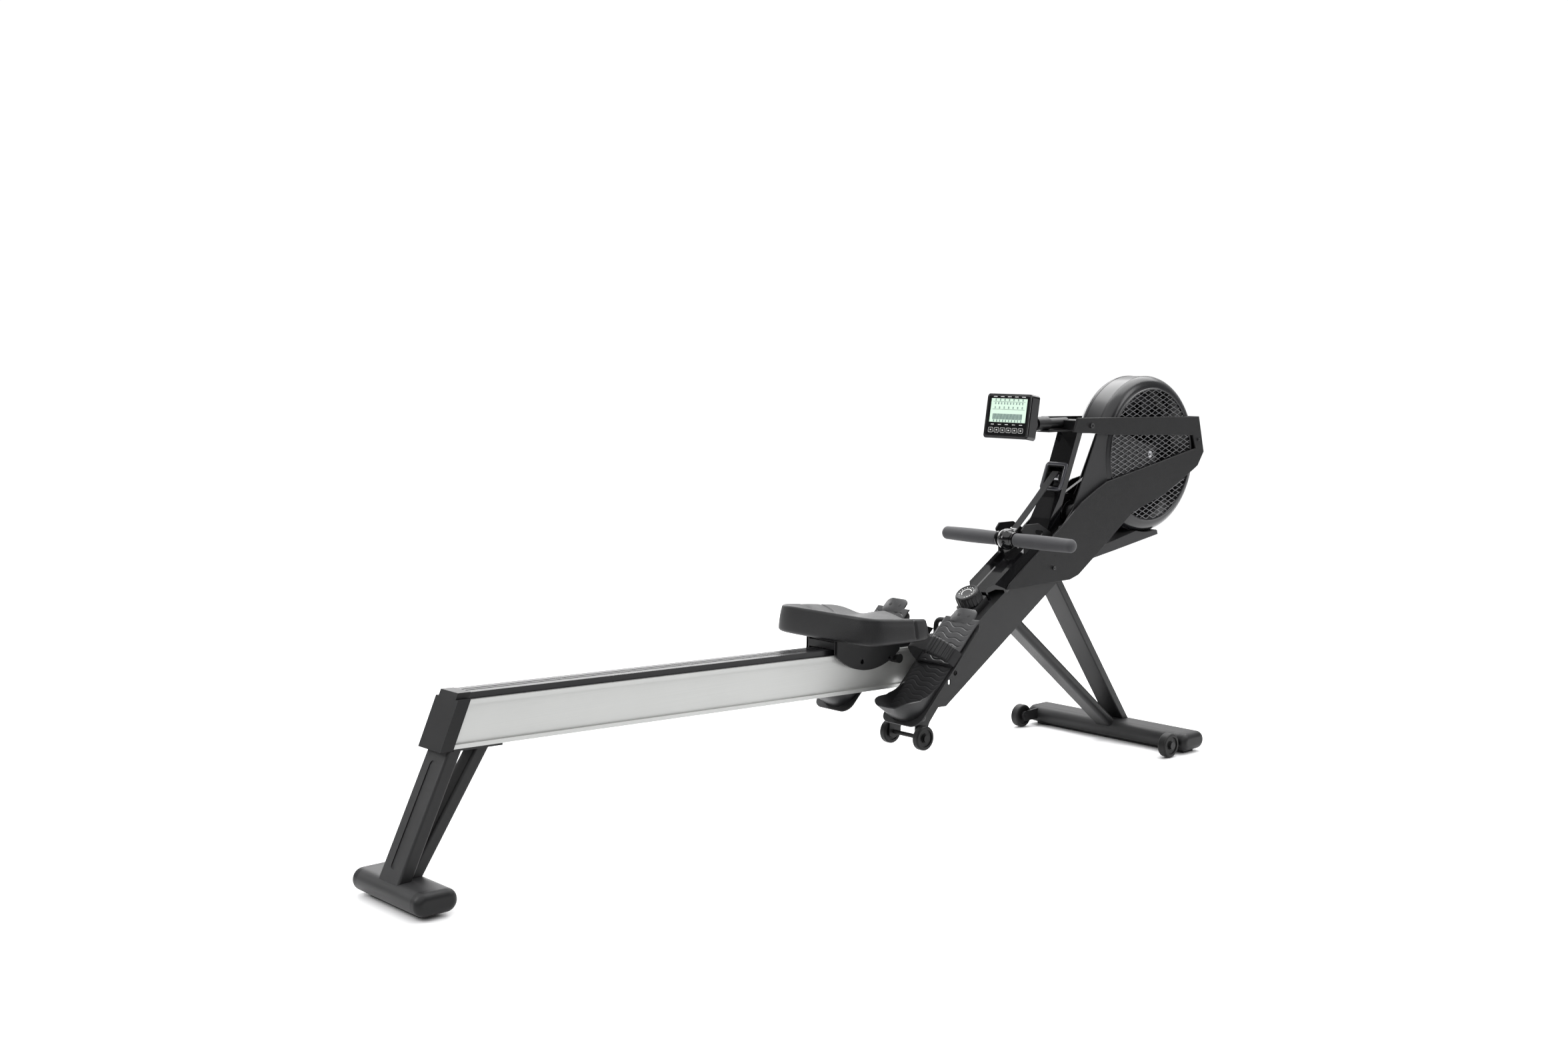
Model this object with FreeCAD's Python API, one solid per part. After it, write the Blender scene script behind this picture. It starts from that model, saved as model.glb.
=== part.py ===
import FreeCAD, Part
import math
import os

from FreeCAD import Vector

# Folding air and magnet rowing machine, millimetres, +Z up, +X from the rear foot to the flywheel.
# The origin is on the floor, halfway along and on the mid-plane. +Y is the rower's left.

# Overall
HALF_LENGTH = 1198.0        # rear foot to shroud nose, halved
HALF_WIDTH = 252.0          # front stabiliser, halved

# Floor bars
BAR_WIDTH = 88.0
BAR_HEIGHT = 44.0
PAD_HEIGHT = 7.0
PAD_WIDTH = 40.0
REAR_BAR_X = -HALF_LENGTH + BAR_WIDTH / 2
REAR_BAR_HALF = 95.0
REAR_FOOT_HALF = 119.0
LEG_WALL = 2.5
FRONT_BAR_X = 910.0
FRONT_BAR_HALF = 228.0

# Rail, drawn level and then turned down towards the front about the point above the origin
RAIL_TOP_Z = 333.2
RAIL_TILT = 1.8
RAIL_HALF = 36.0
RAIL_WEB = 30.0
RAIL_DEPTH = 88.0
RAIL_LIP = 8.0
RAIL_WALL = 3.0
RAIL_FRONT = 306.0
RAIL_END_LOW = -1066.0      # slanted rear end, at the rail's underside
RAIL_END_LEAN = 0.401       # forward lean of that end for each mm of height
CAP_LENGTH = 27.0
TRACK_HALF = 28.0
TRACK_HEIGHT = 12.5
TRACK_FRONT = 262.0
PIVOT_U = 257.5             # fold pivot, along the rail
PIVOT_V = -44.1             # and below its top
PIVOT_RADIUS = 8.0
RUNNING = 0.05              # radial clearance of a running fit

# Seat and carriage, in the rail's own level frame
SEAT_REAR = -132.0
SEAT_FRONT = 83.0
SEAT_HALF = 160.0
SEAT_BOTTOM = 34.0
SEAT_TOP = 92.0
CARRIAGE_REAR = -118.0
CARRIAGE_FRONT = 62.0
COVER_MID = -21.5
COVER_RADIUS = 144.0
COVER_DROP = 37.0
CHEEK_IN = 40.0
CHEEK_OUT = 43.0
COVER_OUT = 50.0
TOP_ROLLER_R = 8.5
TOP_ROLLER_U = (-95.0, 44.0)
GUIDE_ROLLER_R = 9.0
GUIDE_ROLLER_U = (-58.0, 22.0)
ROLLER_AXLE_R = 4.0
BUMPER_R = 10.5
BUMPER_U = 73.0
BUMPER_V = -19.4

# Sloping main beam: a frame that starts at its lower front corner, s along it, t across it
BEAM_X = 233.0
BEAM_Z = 180.0
BEAM_ANGLE = 32.8
BEAM_DEPTH = 98.0
BEAM_END = 560.0
BEAM_IN = 42.0
BEAM_OUT = 45.0
LOCK_X = 263.0
LOCK_Z = 253.0

# Footrests: a frame that starts at the heel end of the plate
FOOT_X = 10.0
FOOT_Z = 181.5
FOOT_ANGLE = 44.5
FOOT_IN = 50.0
FOOT_OUT = 167.0
FOOT_LENGTH = 295.0

# Flywheel and its housing
WHEEL_X = 980.0
WHEEL_Z = 727.0
HOUSING_R = 198.0
HOUSING_HALF = 53.0
GRILLE_R = 165.0
FLY_R = 150.0
AXLE_R = 8.5
SPOOL_X = 742.0
SPOOL_Z = 585.0
SPOOL_R = 26.0
DRIVE_R = 52.0
SMALL_R = 17.0
IDLER_X = 668.0
IDLER_Z = 681.0
IDLER_R = 9.0

# Shroud
SHROUD_IN = 53.5
SHROUD_OUT = 58.0

# Handle
HANDLE_X = 490.0
HANDLE_Z = 543.0
HANDLE_HALF = 205.0
GRIP_R = 17.3
HUB_R = 24.0
PULL_RISE = 0.1             # the handle rises this much for each mm it is pulled

# Console
FACE_X = 485.0
FACE_Z = 837.0
FACE_TILT = 9.6
CONSOLE_HALF = 70.0
CONSOLE_HEIGHT = 107.6
CONSOLE_DEPTH = 28.0
ARM_Z = 815.0
TILT_X = 556.0
BUTTON_PITCH = 18.7

# Wheels
MID_X = 150.0
MID_Z = 119.0
MID_R = 28.0
ROAD_X = 825.0
ROAD_Z = 30.5
ROAD_R = 29.3


def save(name, *shapes):
    """Writes one node; several shapes stay separate solids."""
    shape = shapes[0] if len(shapes) == 1 else Part.makeCompound(list(shapes))
    shape.exportStep("parts/" + name + ".step")


def box(x0, x1, y0, y1, z0, z1):
    return Part.makeBox(x1 - x0, y1 - y0, z1 - z0, Vector(x0, y0, z0))


def rod(x, z, radius, y0, y1):
    """Round bar along Y."""
    return Part.makeCylinder(radius, y1 - y0, Vector(x, y0, z), Vector(0, 1, 0))


def ring(x, z, outer, inner, y0, y1):
    return rod(x, z, outer, y0, y1).cut(rod(x, z, inner, y0 - 1, y1 + 1))


def prism(points, y0, y1):
    """Outline in X and Z, carried along Y."""
    corners = [Vector(x, y0, z) for x, z in points]
    wire = Part.makePolygon(corners + corners[:1])
    return Part.Face(wire).extrude(Vector(0, y1 - y0, 0))


def section(points, x0, x1):
    """Outline in Y and Z, carried along X."""
    corners = [Vector(x0, y, z) for y, z in points]
    wire = Part.makePolygon(corners + corners[:1])
    return Part.Face(wire).extrude(Vector(x1 - x0, 0, 0))


def fused(*shapes):
    return shapes[0].multiFuse(list(shapes[1:])).removeSplitter()


def both(shape):
    """A piece and its mirror image across the mid-plane."""
    return shape, shape.mirror(Vector(0, 0, 0), Vector(0, 1, 0))


def rounded(shape, radius, direction):
    """Rounds the straight edges that run along a direction."""
    chosen = []
    for edge in shape.Edges:
        if edge.Curve.TypeId == "Part::GeomLine":
            if abs(abs(edge.tangentAt(edge.FirstParameter).dot(direction)) - 1) < 1e-6:
                chosen.append(edge)
    return shape.makeFillet(radius, chosen)


def rounded_end(shape, radius, y):
    """Rounds the edges that lie in the plane at y."""
    chosen = [e for e in shape.Edges if abs(e.BoundBox.YMin - y) < 1e-3 and abs(e.BoundBox.YMax - y) < 1e-3]
    return shape.makeFillet(radius, chosen)


def turned(shape, x, z, angle):
    """Tilts a shape drawn along X so that it climbs towards +X, then moves its origin."""
    shape.rotate(Vector(0, 0, 0), Vector(0, 1, 0), -angle)
    shape.translate(Vector(x, 0, z))
    return shape


def on_rail(shape):
    shape.rotate(Vector(0, 0, RAIL_TOP_Z), Vector(0, 1, 0), RAIL_TILT)
    return shape


def rail_z(v):
    """Height, before the rail's turn, of a level v above the rail's top."""
    return RAIL_TOP_Z + v


def on_beam(shape):
    return turned(shape, BEAM_X, BEAM_Z, BEAM_ANGLE)


def on_foot(shape):
    return turned(shape, FOOT_X, FOOT_Z, FOOT_ANGLE)


def oval_bar(x, y0, y1):
    """Floor bar of flat oval section."""
    radius = BAR_HEIGHT / 2
    flat = BAR_WIDTH / 2 - radius
    core = box(x - flat, x + flat, y0, y1, PAD_HEIGHT, PAD_HEIGHT + BAR_HEIGHT)
    rear = rod(x - flat, PAD_HEIGHT + radius, radius, y0, y1)
    front = rod(x + flat, PAD_HEIGHT + radius, radius, y0, y1)
    return fused(core, rear, front)


def floor_feet(name, x, inner, outer, pad_half):
    """Two rounded end caps and the rubber strip under the bar."""
    cap = rounded_end(oval_bar(x, inner, outer), 14.0, outer)
    pad = box(x - PAD_WIDTH / 2, x + PAD_WIDTH / 2, -pad_half, pad_half, 0, PAD_HEIGHT)
    save(name, *both(cap), pad)


# ---------------------------------------------------------------- rail

def rear_wedge(offset):
    """Everything behind the rail's slanted rear end, moved along the rail by offset."""
    low = RAIL_END_LOW + offset - 32 * RAIL_END_LEAN
    high = RAIL_END_LOW + offset + 148 * RAIL_END_LEAN
    points = [(-1400, rail_z(-120)), (low, rail_z(-120)), (high, rail_z(60)), (-1400, rail_z(60))]
    return prism(points, -100, 100)


def rail_beam():
    half = [(RAIL_HALF, 0), (RAIL_HALF, -RAIL_LIP), (RAIL_WEB, -RAIL_LIP),
            (RAIL_WEB, RAIL_LIP - RAIL_DEPTH), (RAIL_HALF, RAIL_LIP - RAIL_DEPTH), (RAIL_HALF, -RAIL_DEPTH)]
    outline = half + [(-y, v) for y, v in reversed(half)]
    outer = section([(y, rail_z(v)) for y, v in outline], -1120, RAIL_FRONT)
    inside = RAIL_WEB - RAIL_WALL
    hollow = box(-1130, RAIL_FRONT - 5, -inside, inside, rail_z(4 - RAIL_DEPTH), rail_z(-4))
    shell = outer.cut(hollow).cut(rear_wedge(0))
    boss = rod(PIVOT_U, rail_z(PIVOT_V), 16.0, -BEAM_IN + 0.3, BEAM_IN - 0.3)
    bore = rod(PIVOT_U, rail_z(PIVOT_V), PIVOT_RADIUS + RUNNING, -60, 60)
    save("rail_beam", on_rail(fused(shell, boss).cut(bore)))


def rail_track():
    band = box(-1120, TRACK_FRONT, -TRACK_HALF, TRACK_HALF, rail_z(0), rail_z(TRACK_HEIGHT))
    band = band.cut(box(-1130, TRACK_FRONT - 4, -TRACK_HALF + 3, TRACK_HALF - 3, rail_z(-1), rail_z(7)))
    for side in (-1, 1):
        low = min(side * 4.0, side * 9.0)
        band = band.cut(box(-1130, TRACK_FRONT + 10, low, low + 5, rail_z(TRACK_HEIGHT - 3), rail_z(20)))
    save("rail_track", on_rail(band.cut(rear_wedge(0))))


def rail_cap():
    top = rail_z(TRACK_HEIGHT + 1)
    low = rail_z(-RAIL_DEPTH - 2.5)
    block = box(-1200, -900, -RAIL_HALF - 2.5, RAIL_HALF + 2.5, low, top)
    for side in (-1, 1):
        inner = min(side * (TRACK_HALF + 1.5), side * 60)
        block = block.cut(box(-1300, -900, inner, inner + 60 - TRACK_HALF - 1.5, rail_z(1.5), rail_z(30)))
    block = block.cut(rear_wedge(-CAP_LENGTH)).common(rear_wedge(0))
    inside = RAIL_WEB - RAIL_WALL - 0.3
    plug = box(-1200, -900, -inside, inside, rail_z(4.3 - RAIL_DEPTH), rail_z(-4.3))
    plug = plug.cut(rear_wedge(-1)).common(rear_wedge(22))
    save("rail_cap", on_rail(fused(block, plug)))


def leg(x_low, lean, depth, half):
    """One rectangular rear leg as a hollow tube, before its ends are trimmed."""
    def outline(inset):
        z0, z1 = 20.0, 320.0
        x0 = x_low + (z0 - 48) * lean
        x1 = x_low + (z1 - 48) * lean
        return [(x0 + inset, z0), (x0 + depth - inset, z0), (x1 + depth - inset, z1), (x1 + inset, z1)]
    tube = rounded(prism(outline(0), -half, half), 5.0, Vector(lean, 0, 1).normalize())
    return tube.cut(prism(outline(LEG_WALL), -half + LEG_WALL, half - LEG_WALL))


def rear_legs():
    bar = oval_bar(REAR_BAR_X, -REAR_BAR_HALF, REAR_BAR_HALF)
    above = on_rail(box(-1300, 0, -100, 100, rail_z(-RAIL_DEPTH - 4), rail_z(60)))
    below = box(-1300, 0, -100, 100, -10, PAD_HEIGHT + BAR_HEIGHT / 2)
    back = leg(-1187.0, 0.4825, 30.0, 35.0)
    front = leg(-1156.6, 0.665, 31.0, 19.0)
    # A long pressed channel stiffens the wide face of the back leg
    channel = prism([(-1187 + (z - 48) * 0.4825 + dx, z) for z, dx in ((70, -9), (70, 2), (255, 2), (255, -9))], -9, 9)
    back = back.cut(rounded(channel, 7.0, Vector(1, 0, 0)))
    legs = [s.cut(above).cut(bar).cut(below) for s in (back, front)]
    plate = on_rail(box(-1064, -959, -RAIL_HALF, RAIL_HALF, rail_z(-RAIL_DEPTH - 4), rail_z(-RAIL_DEPTH)))
    save("rear_legs", legs[0], legs[1], plate, bar)


def rear_foot():
    floor_feet("rear_foot_ends", REAR_BAR_X, REAR_BAR_HALF, REAR_FOOT_HALF, 86.0)


def seat_bumpers():
    pair = [on_rail(s) for s in both(rod(BUMPER_U, rail_z(BUMPER_V), BUMPER_R, RAIL_WEB, 52))]
    save("seat_bumpers", *pair)


def lift_bail():
    """Round bar bent into an upside-down U on the rail's front end."""
    radius, half, top, bend = 6.0, 30.0, 45.5, 16.0
    base = rail_z(0)
    u = 276.0
    low_left, high_left = Vector(u, -half, base), Vector(u, -half, rail_z(top) - bend)
    low_right, high_right = Vector(u, half, base), Vector(u, half, rail_z(top) - bend)
    top_left, top_right = Vector(u, -half + bend, rail_z(top)), Vector(u, half - bend, rail_z(top))
    cut = bend * (1 - math.sqrt(0.5))
    mid_left = Vector(u, -half + cut, rail_z(top) - cut)
    mid_right = Vector(u, half - cut, rail_z(top) - cut)
    edges = [Part.makeLine(low_left, high_left), Part.Arc(high_left, mid_left, top_left).toShape(),
             Part.makeLine(top_left, top_right), Part.Arc(top_right, mid_right, high_right).toShape(),
             Part.makeLine(high_right, low_right)]
    profile = Part.Wire([Part.makeCircle(radius, low_left, Vector(0, 0, 1))])
    bar = Part.Wire(edges).makePipeShell([profile], True, False)
    save("lift_bail", on_rail(bar))


# ---------------------------------------------------------------- seat

def seat_cushion():
    block = box(SEAT_REAR, SEAT_FRONT, -SEAT_HALF, SEAT_HALF, rail_z(SEAT_BOTTOM), rail_z(SEAT_TOP))
    block = rounded(block, 30.0, Vector(0, 0, 1))
    dish = Part.makeCylinder(420.0, 400, Vector(-220, 0, rail_z(SEAT_TOP + 395)), Vector(1, 0, 0))
    save("seat_cushion", on_rail(block.cut(dish)))


def half_moon(radius, y0, y1, front):
    """Round-bottomed cheek under the seat, flat at the top."""
    centre = rail_z(COVER_RADIUS - COVER_DROP)
    disc = rod(COVER_MID, centre, radius, y0, y1)
    return disc.common(box(CARRIAGE_REAR, front, y0, y1, rail_z(-60), rail_z(SEAT_BOTTOM)))


def carriage_frame():
    top = box(CARRIAGE_REAR + 4, CARRIAGE_FRONT, -CHEEK_OUT, CHEEK_OUT, rail_z(30), rail_z(SEAT_BOTTOM))
    pieces = [top]
    for cheek in both(half_moon(COVER_RADIUS - 4, CHEEK_IN, CHEEK_OUT, CARRIAGE_FRONT)):
        pieces.append(cheek)
    for u in TOP_ROLLER_U:
        pieces.append(rod(u, rail_z(TRACK_HEIGHT + TOP_ROLLER_R + RUNNING), ROLLER_AXLE_R, -CHEEK_OUT, CHEEK_OUT))
    for u in GUIDE_ROLLER_U:
        level = rail_z(-RAIL_LIP - GUIDE_ROLLER_R - RUNNING)
        pieces.extend(both(rod(u, level, ROLLER_AXLE_R, RAIL_WEB + 1.2, CHEEK_OUT)))
    # Stop tabs that meet the rubber bumpers at the front end of the travel
    tab = box(CARRIAGE_FRONT - 30, BUMPER_U - BUMPER_R - 0.3, CHEEK_IN, CHEEK_OUT, rail_z(-24), rail_z(10))
    pieces.extend(both(tab))
    save("carriage_frame", on_rail(fused(*pieces)))


def carriage_covers():
    outer = half_moon(COVER_RADIUS, CHEEK_OUT + 0.3, COVER_OUT, CARRIAGE_FRONT + 13)
    inner = half_moon(COVER_RADIUS - 3, CHEEK_OUT + 0.3, COVER_OUT - 3, CARRIAGE_FRONT + 10)
    shell = outer.cut(inner)
    for u in (-41.0, 44.0):
        shell = shell.cut(rod(u, rail_z(-17), 4.5, COVER_OUT - 4, COVER_OUT + 1))
    shell = shell.cut(rod(BUMPER_U, rail_z(BUMPER_V), BUMPER_R + 3, 20, 70))
    shell = rounded_end(shell, 1.5, COVER_OUT) if len(shell.Solids) == 1 else shell
    wall = box(CARRIAGE_REAR, CARRIAGE_REAR + 3, 0.3 - CHEEK_IN, CHEEK_IN - 0.3, rail_z(14), rail_z(29.7))
    save("carriage_covers", *[on_rail(s) for s in both(shell)], on_rail(wall))


def rollers():
    for name, u in zip(("top_rollers_rear", "top_rollers_front"), TOP_ROLLER_U):
        level = rail_z(TRACK_HEIGHT + TOP_ROLLER_R + RUNNING)
        wheel = ring(u, level, TOP_ROLLER_R, ROLLER_AXLE_R + RUNNING, 12, 26)
        save(name, *[on_rail(s) for s in both(wheel)])
    for name, u in zip(("guide_rollers_rear", "guide_rollers_front"), GUIDE_ROLLER_U):
        level = rail_z(-RAIL_LIP - GUIDE_ROLLER_R - RUNNING)
        wheel = ring(u, level, GUIDE_ROLLER_R, ROLLER_AXLE_R + RUNNING, RAIL_WEB + 1.4, CHEEK_IN - 0.6)
        save(name, *[on_rail(s) for s in both(wheel)])


# ---------------------------------------------------------------- main frame

def beam_envelope():
    points = [(0, 0), (BEAM_END, 0), (BEAM_END, BEAM_DEPTH), (-63, BEAM_DEPTH), (-63, 0)]
    return on_beam(prism(points, -BEAM_OUT, BEAM_OUT))


def main_beam():
    """Box section above, open channel below where the rail folds between its side plates."""
    side = on_beam(prism([(-90, -40), (BEAM_END, -40), (BEAM_END, BEAM_DEPTH), (-90, BEAM_DEPTH)], BEAM_IN, BEAM_OUT))
    clip = prism([(168, 182), (233, 180), (1000, 674), (1000, 900), (168, 900)], 0, 60)
    side = side.common(clip)
    side = side.cut(rod(256.0, 281.0, PIVOT_RADIUS, 0, 100))
    side = side.cut(rod(LOCK_X, LOCK_Z, 6.0, 0, 100))
    slot = box(239, 247, 0, 100, 229, 241)
    side = side.cut(slot)
    right = side.mirror(Vector(0, 0, 0), Vector(0, 1, 0))
    top = on_beam(box(190, BEAM_END, -BEAM_IN, BEAM_IN, BEAM_DEPTH - 3, BEAM_DEPTH))
    bottom = on_beam(box(150, BEAM_END, -BEAM_IN, BEAM_IN, 0, 3))
    save("main_beam", fused(side, right, top, bottom))


def strut(x0, z0, x1, z1, half_width, depth, radius):
    """Flat tube from the beam's underside down to the front floor bar."""
    length = math.hypot(x1 - x0, z1 - z0)
    angle = math.degrees(math.atan2(z1 - z0, x1 - x0))
    outer = rounded(box(-60, length + 40, -half_width, half_width, -depth / 2, depth / 2), radius, Vector(1, 0, 0))
    wall = 3.0
    inner = box(-70, length + 50, -half_width + wall, half_width - wall, -depth / 2 + wall, depth / 2 - wall)
    inner = rounded(inner, max(1.0, radius - wall), Vector(1, 0, 0))
    tube = turned(outer.cut(inner), x0, z0, angle)
    tube = tube.cut(beam_envelope()).cut(oval_bar(FRONT_BAR_X, -FRONT_BAR_HALF, FRONT_BAR_HALF))
    tube = tube.cut(box(0, 1200, -100, 100, -100, PAD_HEIGHT + BAR_HEIGHT / 2))
    return max(tube.Solids, key=lambda s: s.Volume)


def frame_struts():
    front = strut(652, 427, 925, 48, 30.0, 20.0, 3.0)
    rear = strut(523, 328, 873, 48, 27.0, 26.0, 11.0)
    save("frame_struts", front, rear.cut(front))


def stabiliser():
    save("stabiliser_bar", oval_bar(FRONT_BAR_X, -FRONT_BAR_HALF, FRONT_BAR_HALF))
    floor_feet("stabiliser_ends", FRONT_BAR_X, FRONT_BAR_HALF, HALF_WIDTH, 233.0)


def wheel_brackets():
    """Arms that carry the transport wheels, and the hanging bracket of the two middle wheels."""
    bar = oval_bar(FRONT_BAR_X, -FRONT_BAR_HALF, FRONT_BAR_HALF)
    arm = prism([(ROAD_X, 18), (885, 18), (885, 46), (ROAD_X + 6, 44)], 217, 222).cut(bar)
    knuckle = rod(ROAD_X, ROAD_Z, 13, 217, 222)
    pin = rod(ROAD_X, ROAD_Z, 5, 216, 249)
    head = rod(ROAD_X, ROAD_Z, 9, 246.6, 249.6)
    road = fused(arm, knuckle, pin, head)
    outline = [(170, 226), (172, 186), (136, 150), (134, 112), (148, 104), (162, 108), (182, 150), (214, 184), (228, 206)]
    plate = prism(outline, BEAM_IN - 3, BEAM_IN)
    plate = plate.cut(rod(MID_X, MID_Z, 5 + RUNNING, 0, 60))
    tie = box(196, 212, -BEAM_IN + 3, BEAM_IN - 3, 186, 190)
    middle = fused(*both(plate), tie)
    save("wheel_brackets", *both(road), middle)


def tyre(x, z, radius, y0, y1):
    """Small solid wheel with a rounded tread and a dished side."""
    wheel = rod(x, z, radius, y0, y1)
    wheel = wheel.makeFillet(4.0, [e for e in wheel.Edges if e.Curve.TypeId == "Part::GeomCircle"])
    return wheel.cut(ring(x, z, radius - 8, 11, y1 - 2.5, y1 + 1)).cut(ring(x, z, radius - 8, 11, y0 - 1, y0 + 2.5))


def wheels():
    bore = rod(ROAD_X, ROAD_Z, 5 + RUNNING, 220, 250)
    left, right = both(tyre(ROAD_X, ROAD_Z, ROAD_R, 224, 246).cut(bore))
    save("transport_wheel_left", left)
    save("transport_wheel_right", right)
    # The two middle wheels are fixed on one turning rod
    pair = both(tyre(MID_X, MID_Z, MID_R, 43.5, 60.5))
    heads = both(rod(MID_X, MID_Z, 9, 60.0, 64.5))
    save("mid_wheels", fused(*pair, rod(MID_X, MID_Z, 5, -62, 62), *heads))


def bolt(x, z, y0, y1, radius):
    """Domed cap screw head on the left side."""
    return rod(x, z, radius, y0, y1).cut(rod(x, z, radius * 0.45, y1 - 2, y1 + 1))


def frame_bolts():
    pivot = fused(rod(256.0, 281.0, PIVOT_RADIUS, -BEAM_OUT - 8, BEAM_OUT + 8),
                  ring(256.0, 281.0, 13, PIVOT_RADIUS - 0.5, BEAM_OUT, BEAM_OUT + 6),
                  ring(256.0, 281.0, 13, PIVOT_RADIUS - 0.5, -BEAM_OUT - 6, -BEAM_OUT))
    heads = []
    for x, z, y0, radius in ((730.0, 808.0, SHROUD_OUT, 6.5), (1172.0, 758.0, SHROUD_OUT, 3.5),
                             (594.0, 470.0, SHROUD_OUT, 4.5), (158.0, 163.0, BEAM_IN, 8.0)):
        heads.extend(both(bolt(x, z, y0, y0 + 3.5, radius)))
    sleeve = ring(LOCK_X, LOCK_Z, 9.0, 5.0 + RUNNING, BEAM_OUT, BEAM_OUT + 14)
    save("frame_bolts", pivot, sleeve, *heads)


def lock_pin():
    """Spring pull pin of the fold lock, its tip just short of the rail."""
    shank = rod(LOCK_X, LOCK_Z, 5.0, RAIL_HALF + 0.6, BEAM_OUT + 16)
    knob = rod(LOCK_X, LOCK_Z, 13.0, BEAM_OUT + 14.5, BEAM_OUT + 34)
    knob = knob.makeFillet(3.0, [e for e in knob.Edges if e.Curve.TypeId == "Part::GeomCircle"])
    save("lock_pin", fused(shank, knob))


# ---------------------------------------------------------------- footrests (drawn on the left side)

def foot_brackets():
    plate = box(0, FOOT_LENGTH, FOOT_IN, FOOT_OUT, -3, 0)
    plate = rounded(plate, 26.0, Vector(0, 0, 1))
    neck = box(95, 255, BEAM_OUT, FOOT_IN + 1, -3, 0)
    flange = prism([(95, 263), (204, 370), (285, 345), (240, 306), (200, 262), (176, 235), (150, 225)],
                   BEAM_OUT, BEAM_OUT + 3)
    under = on_foot(box(-50, 400, 0, 200, -300, -0.01))
    bracket = fused(on_foot(fused(plate, neck)), flange.common(under))
    save("foot_brackets", *both(bracket))


def toe_plates():
    slab = box(165, 300, 57, 160, 5, 9)
    end = box(270, 300, 57, 160, 0, 6)
    tab = rounded(box(280, 322, 76, 141, 5, 9), 14.0, Vector(0, 0, 1))
    plate = fused(slab, end, tab)
    for y in (94.0, 123.0):
        plate = plate.cut(Part.makeCylinder(4.5, 20, Vector(303, y, 0), Vector(0, 0, 1)))
    save("toe_plates", *both(on_foot(plate)))


def heel_cup():
    """Sliding footbed with a raised cup round the heel."""
    bed = box(5, 190, 56, 161, 0.3, 4.3)
    cup = rounded(box(2, 118, 53, 164, 0.3, 50), 34.0, Vector(0, 0, 1))
    hollow = rounded(box(5.5, 130, 56.5, 160.5, 4.3, 60), 31.0, Vector(0, 0, 1))
    slope = prism([(18, 60), (18, 50), (52, 22), (100, 13), (119, 4.3), (130, 60)], 0, 200)
    wall = cup.cut(hollow).cut(slope).cut(box(90, 130, 50, 170, 13, 60))
    return on_foot(fused(bed, wall))


def heel_cups():
    left, right = both(heel_cup())
    save("heel_cup_left", left)
    save("heel_cup_right", right)


def foot_straps():
    """Webbing over each foot and its quick buckle on the outer side."""
    outer = [(53.2, 0), (53.2, 44), (57, 56), (68, 61), (84, 60), (110, 51), (138, 38), (160, 20), (167, 8), (167, 0)]
    inner = [(165, 0), (165, 8), (158.6, 18.6), (137, 36), (109, 49), (83.6, 58), (68.4, 59), (58.6, 54.6), (55.2, 43.6), (55.2, 0)]
    strap = on_foot(section(outer + inner, 165, 203))
    ridge = [(112, 50.2), (138, 38), (155, 24.2), (159, 27.5), (141, 42.5), (114, 55)]
    buckle = on_foot(section(ridge, 160, 208))
    buckle = buckle.cut(strap)
    save("foot_straps", *both(strap), *both(buckle))


# ---------------------------------------------------------------- covers, tower and shroud

def trough_cover():
    """Glossy cover on the beam between the resistance knob and the tower."""
    top, low, base = BEAM_DEPTH + 34, BEAM_DEPTH + 24, BEAM_DEPTH
    shape = section([(-52, base), (52, base), (52, base + 12), (40, top), (28, top), (20, low), (-20, low),
                     (-28, top), (-40, top), (-52, base + 12)], 265, 470)
    inside = [(-49, base - 1), (49, base - 1), (49, base + 11), (38, low - 3), (-38, low - 3), (-49, base + 11)]
    hollow = section(inside, 268, 480)
    shape = shape.cut(hollow)
    corners = [Vector(262, 20, base - 5), Vector(302, 54, base - 5), Vector(250, 60, base - 5)]
    nose = Part.Face(Part.makePolygon(corners + corners[:1])).extrude(Vector(0, 0, 80))
    shape = shape.cut(nose).cut(nose.mirror(Vector(0, 0, 0), Vector(0, 1, 0)))
    cover = on_beam(shape).cut(tower_envelope())
    for hook in both(handle_hook(37.7, 42.3)):
        cover = cover.cut(hook)
    save("trough_cover", max(cover.Solids, key=lambda s: s.Volume))


def tower_outline():
    return [(585, 525), (600, 560), (612, 586), (644, 634), (704, 780), (709, 794), (730, 794), (722, 775),
            (664, 640), (649, 600), (642, 561)]


def tower_envelope():
    return prism(tower_outline(), -31.3, 31.3)


def inner_strap_shape(half_width, thickness):
    """Hidden run of the pull strap: over the idler, down the tower, round a guide bar and under the spool."""
    reach = IDLER_R + 1.6
    path = []
    for step in range(10):
        angle = math.radians(135.0 - 18.07 * step)
        path.append((IDLER_X + reach * math.cos(angle), IDLER_Z + reach * math.sin(angle)))
    path += [(640.4, 607), (642, 600.5), (647, 599.5), (SPOOL_X - 7, SPOOL_Z - SPOOL_R - 1.6)]
    pieces = []
    for (x0, z0), (x1, z1) in zip(path, path[1:]):
        length = math.hypot(x1 - x0, z1 - z0)
        angle = math.degrees(math.atan2(z1 - z0, x1 - x0))
        piece = box(0, length, -half_width, half_width, -thickness / 2, thickness / 2)
        pieces.append(turned(piece, x0, z0, angle))
        pieces.append(rod(x1, z1, thickness / 2, -half_width, half_width))
    return fused(*pieces[:-1])


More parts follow.
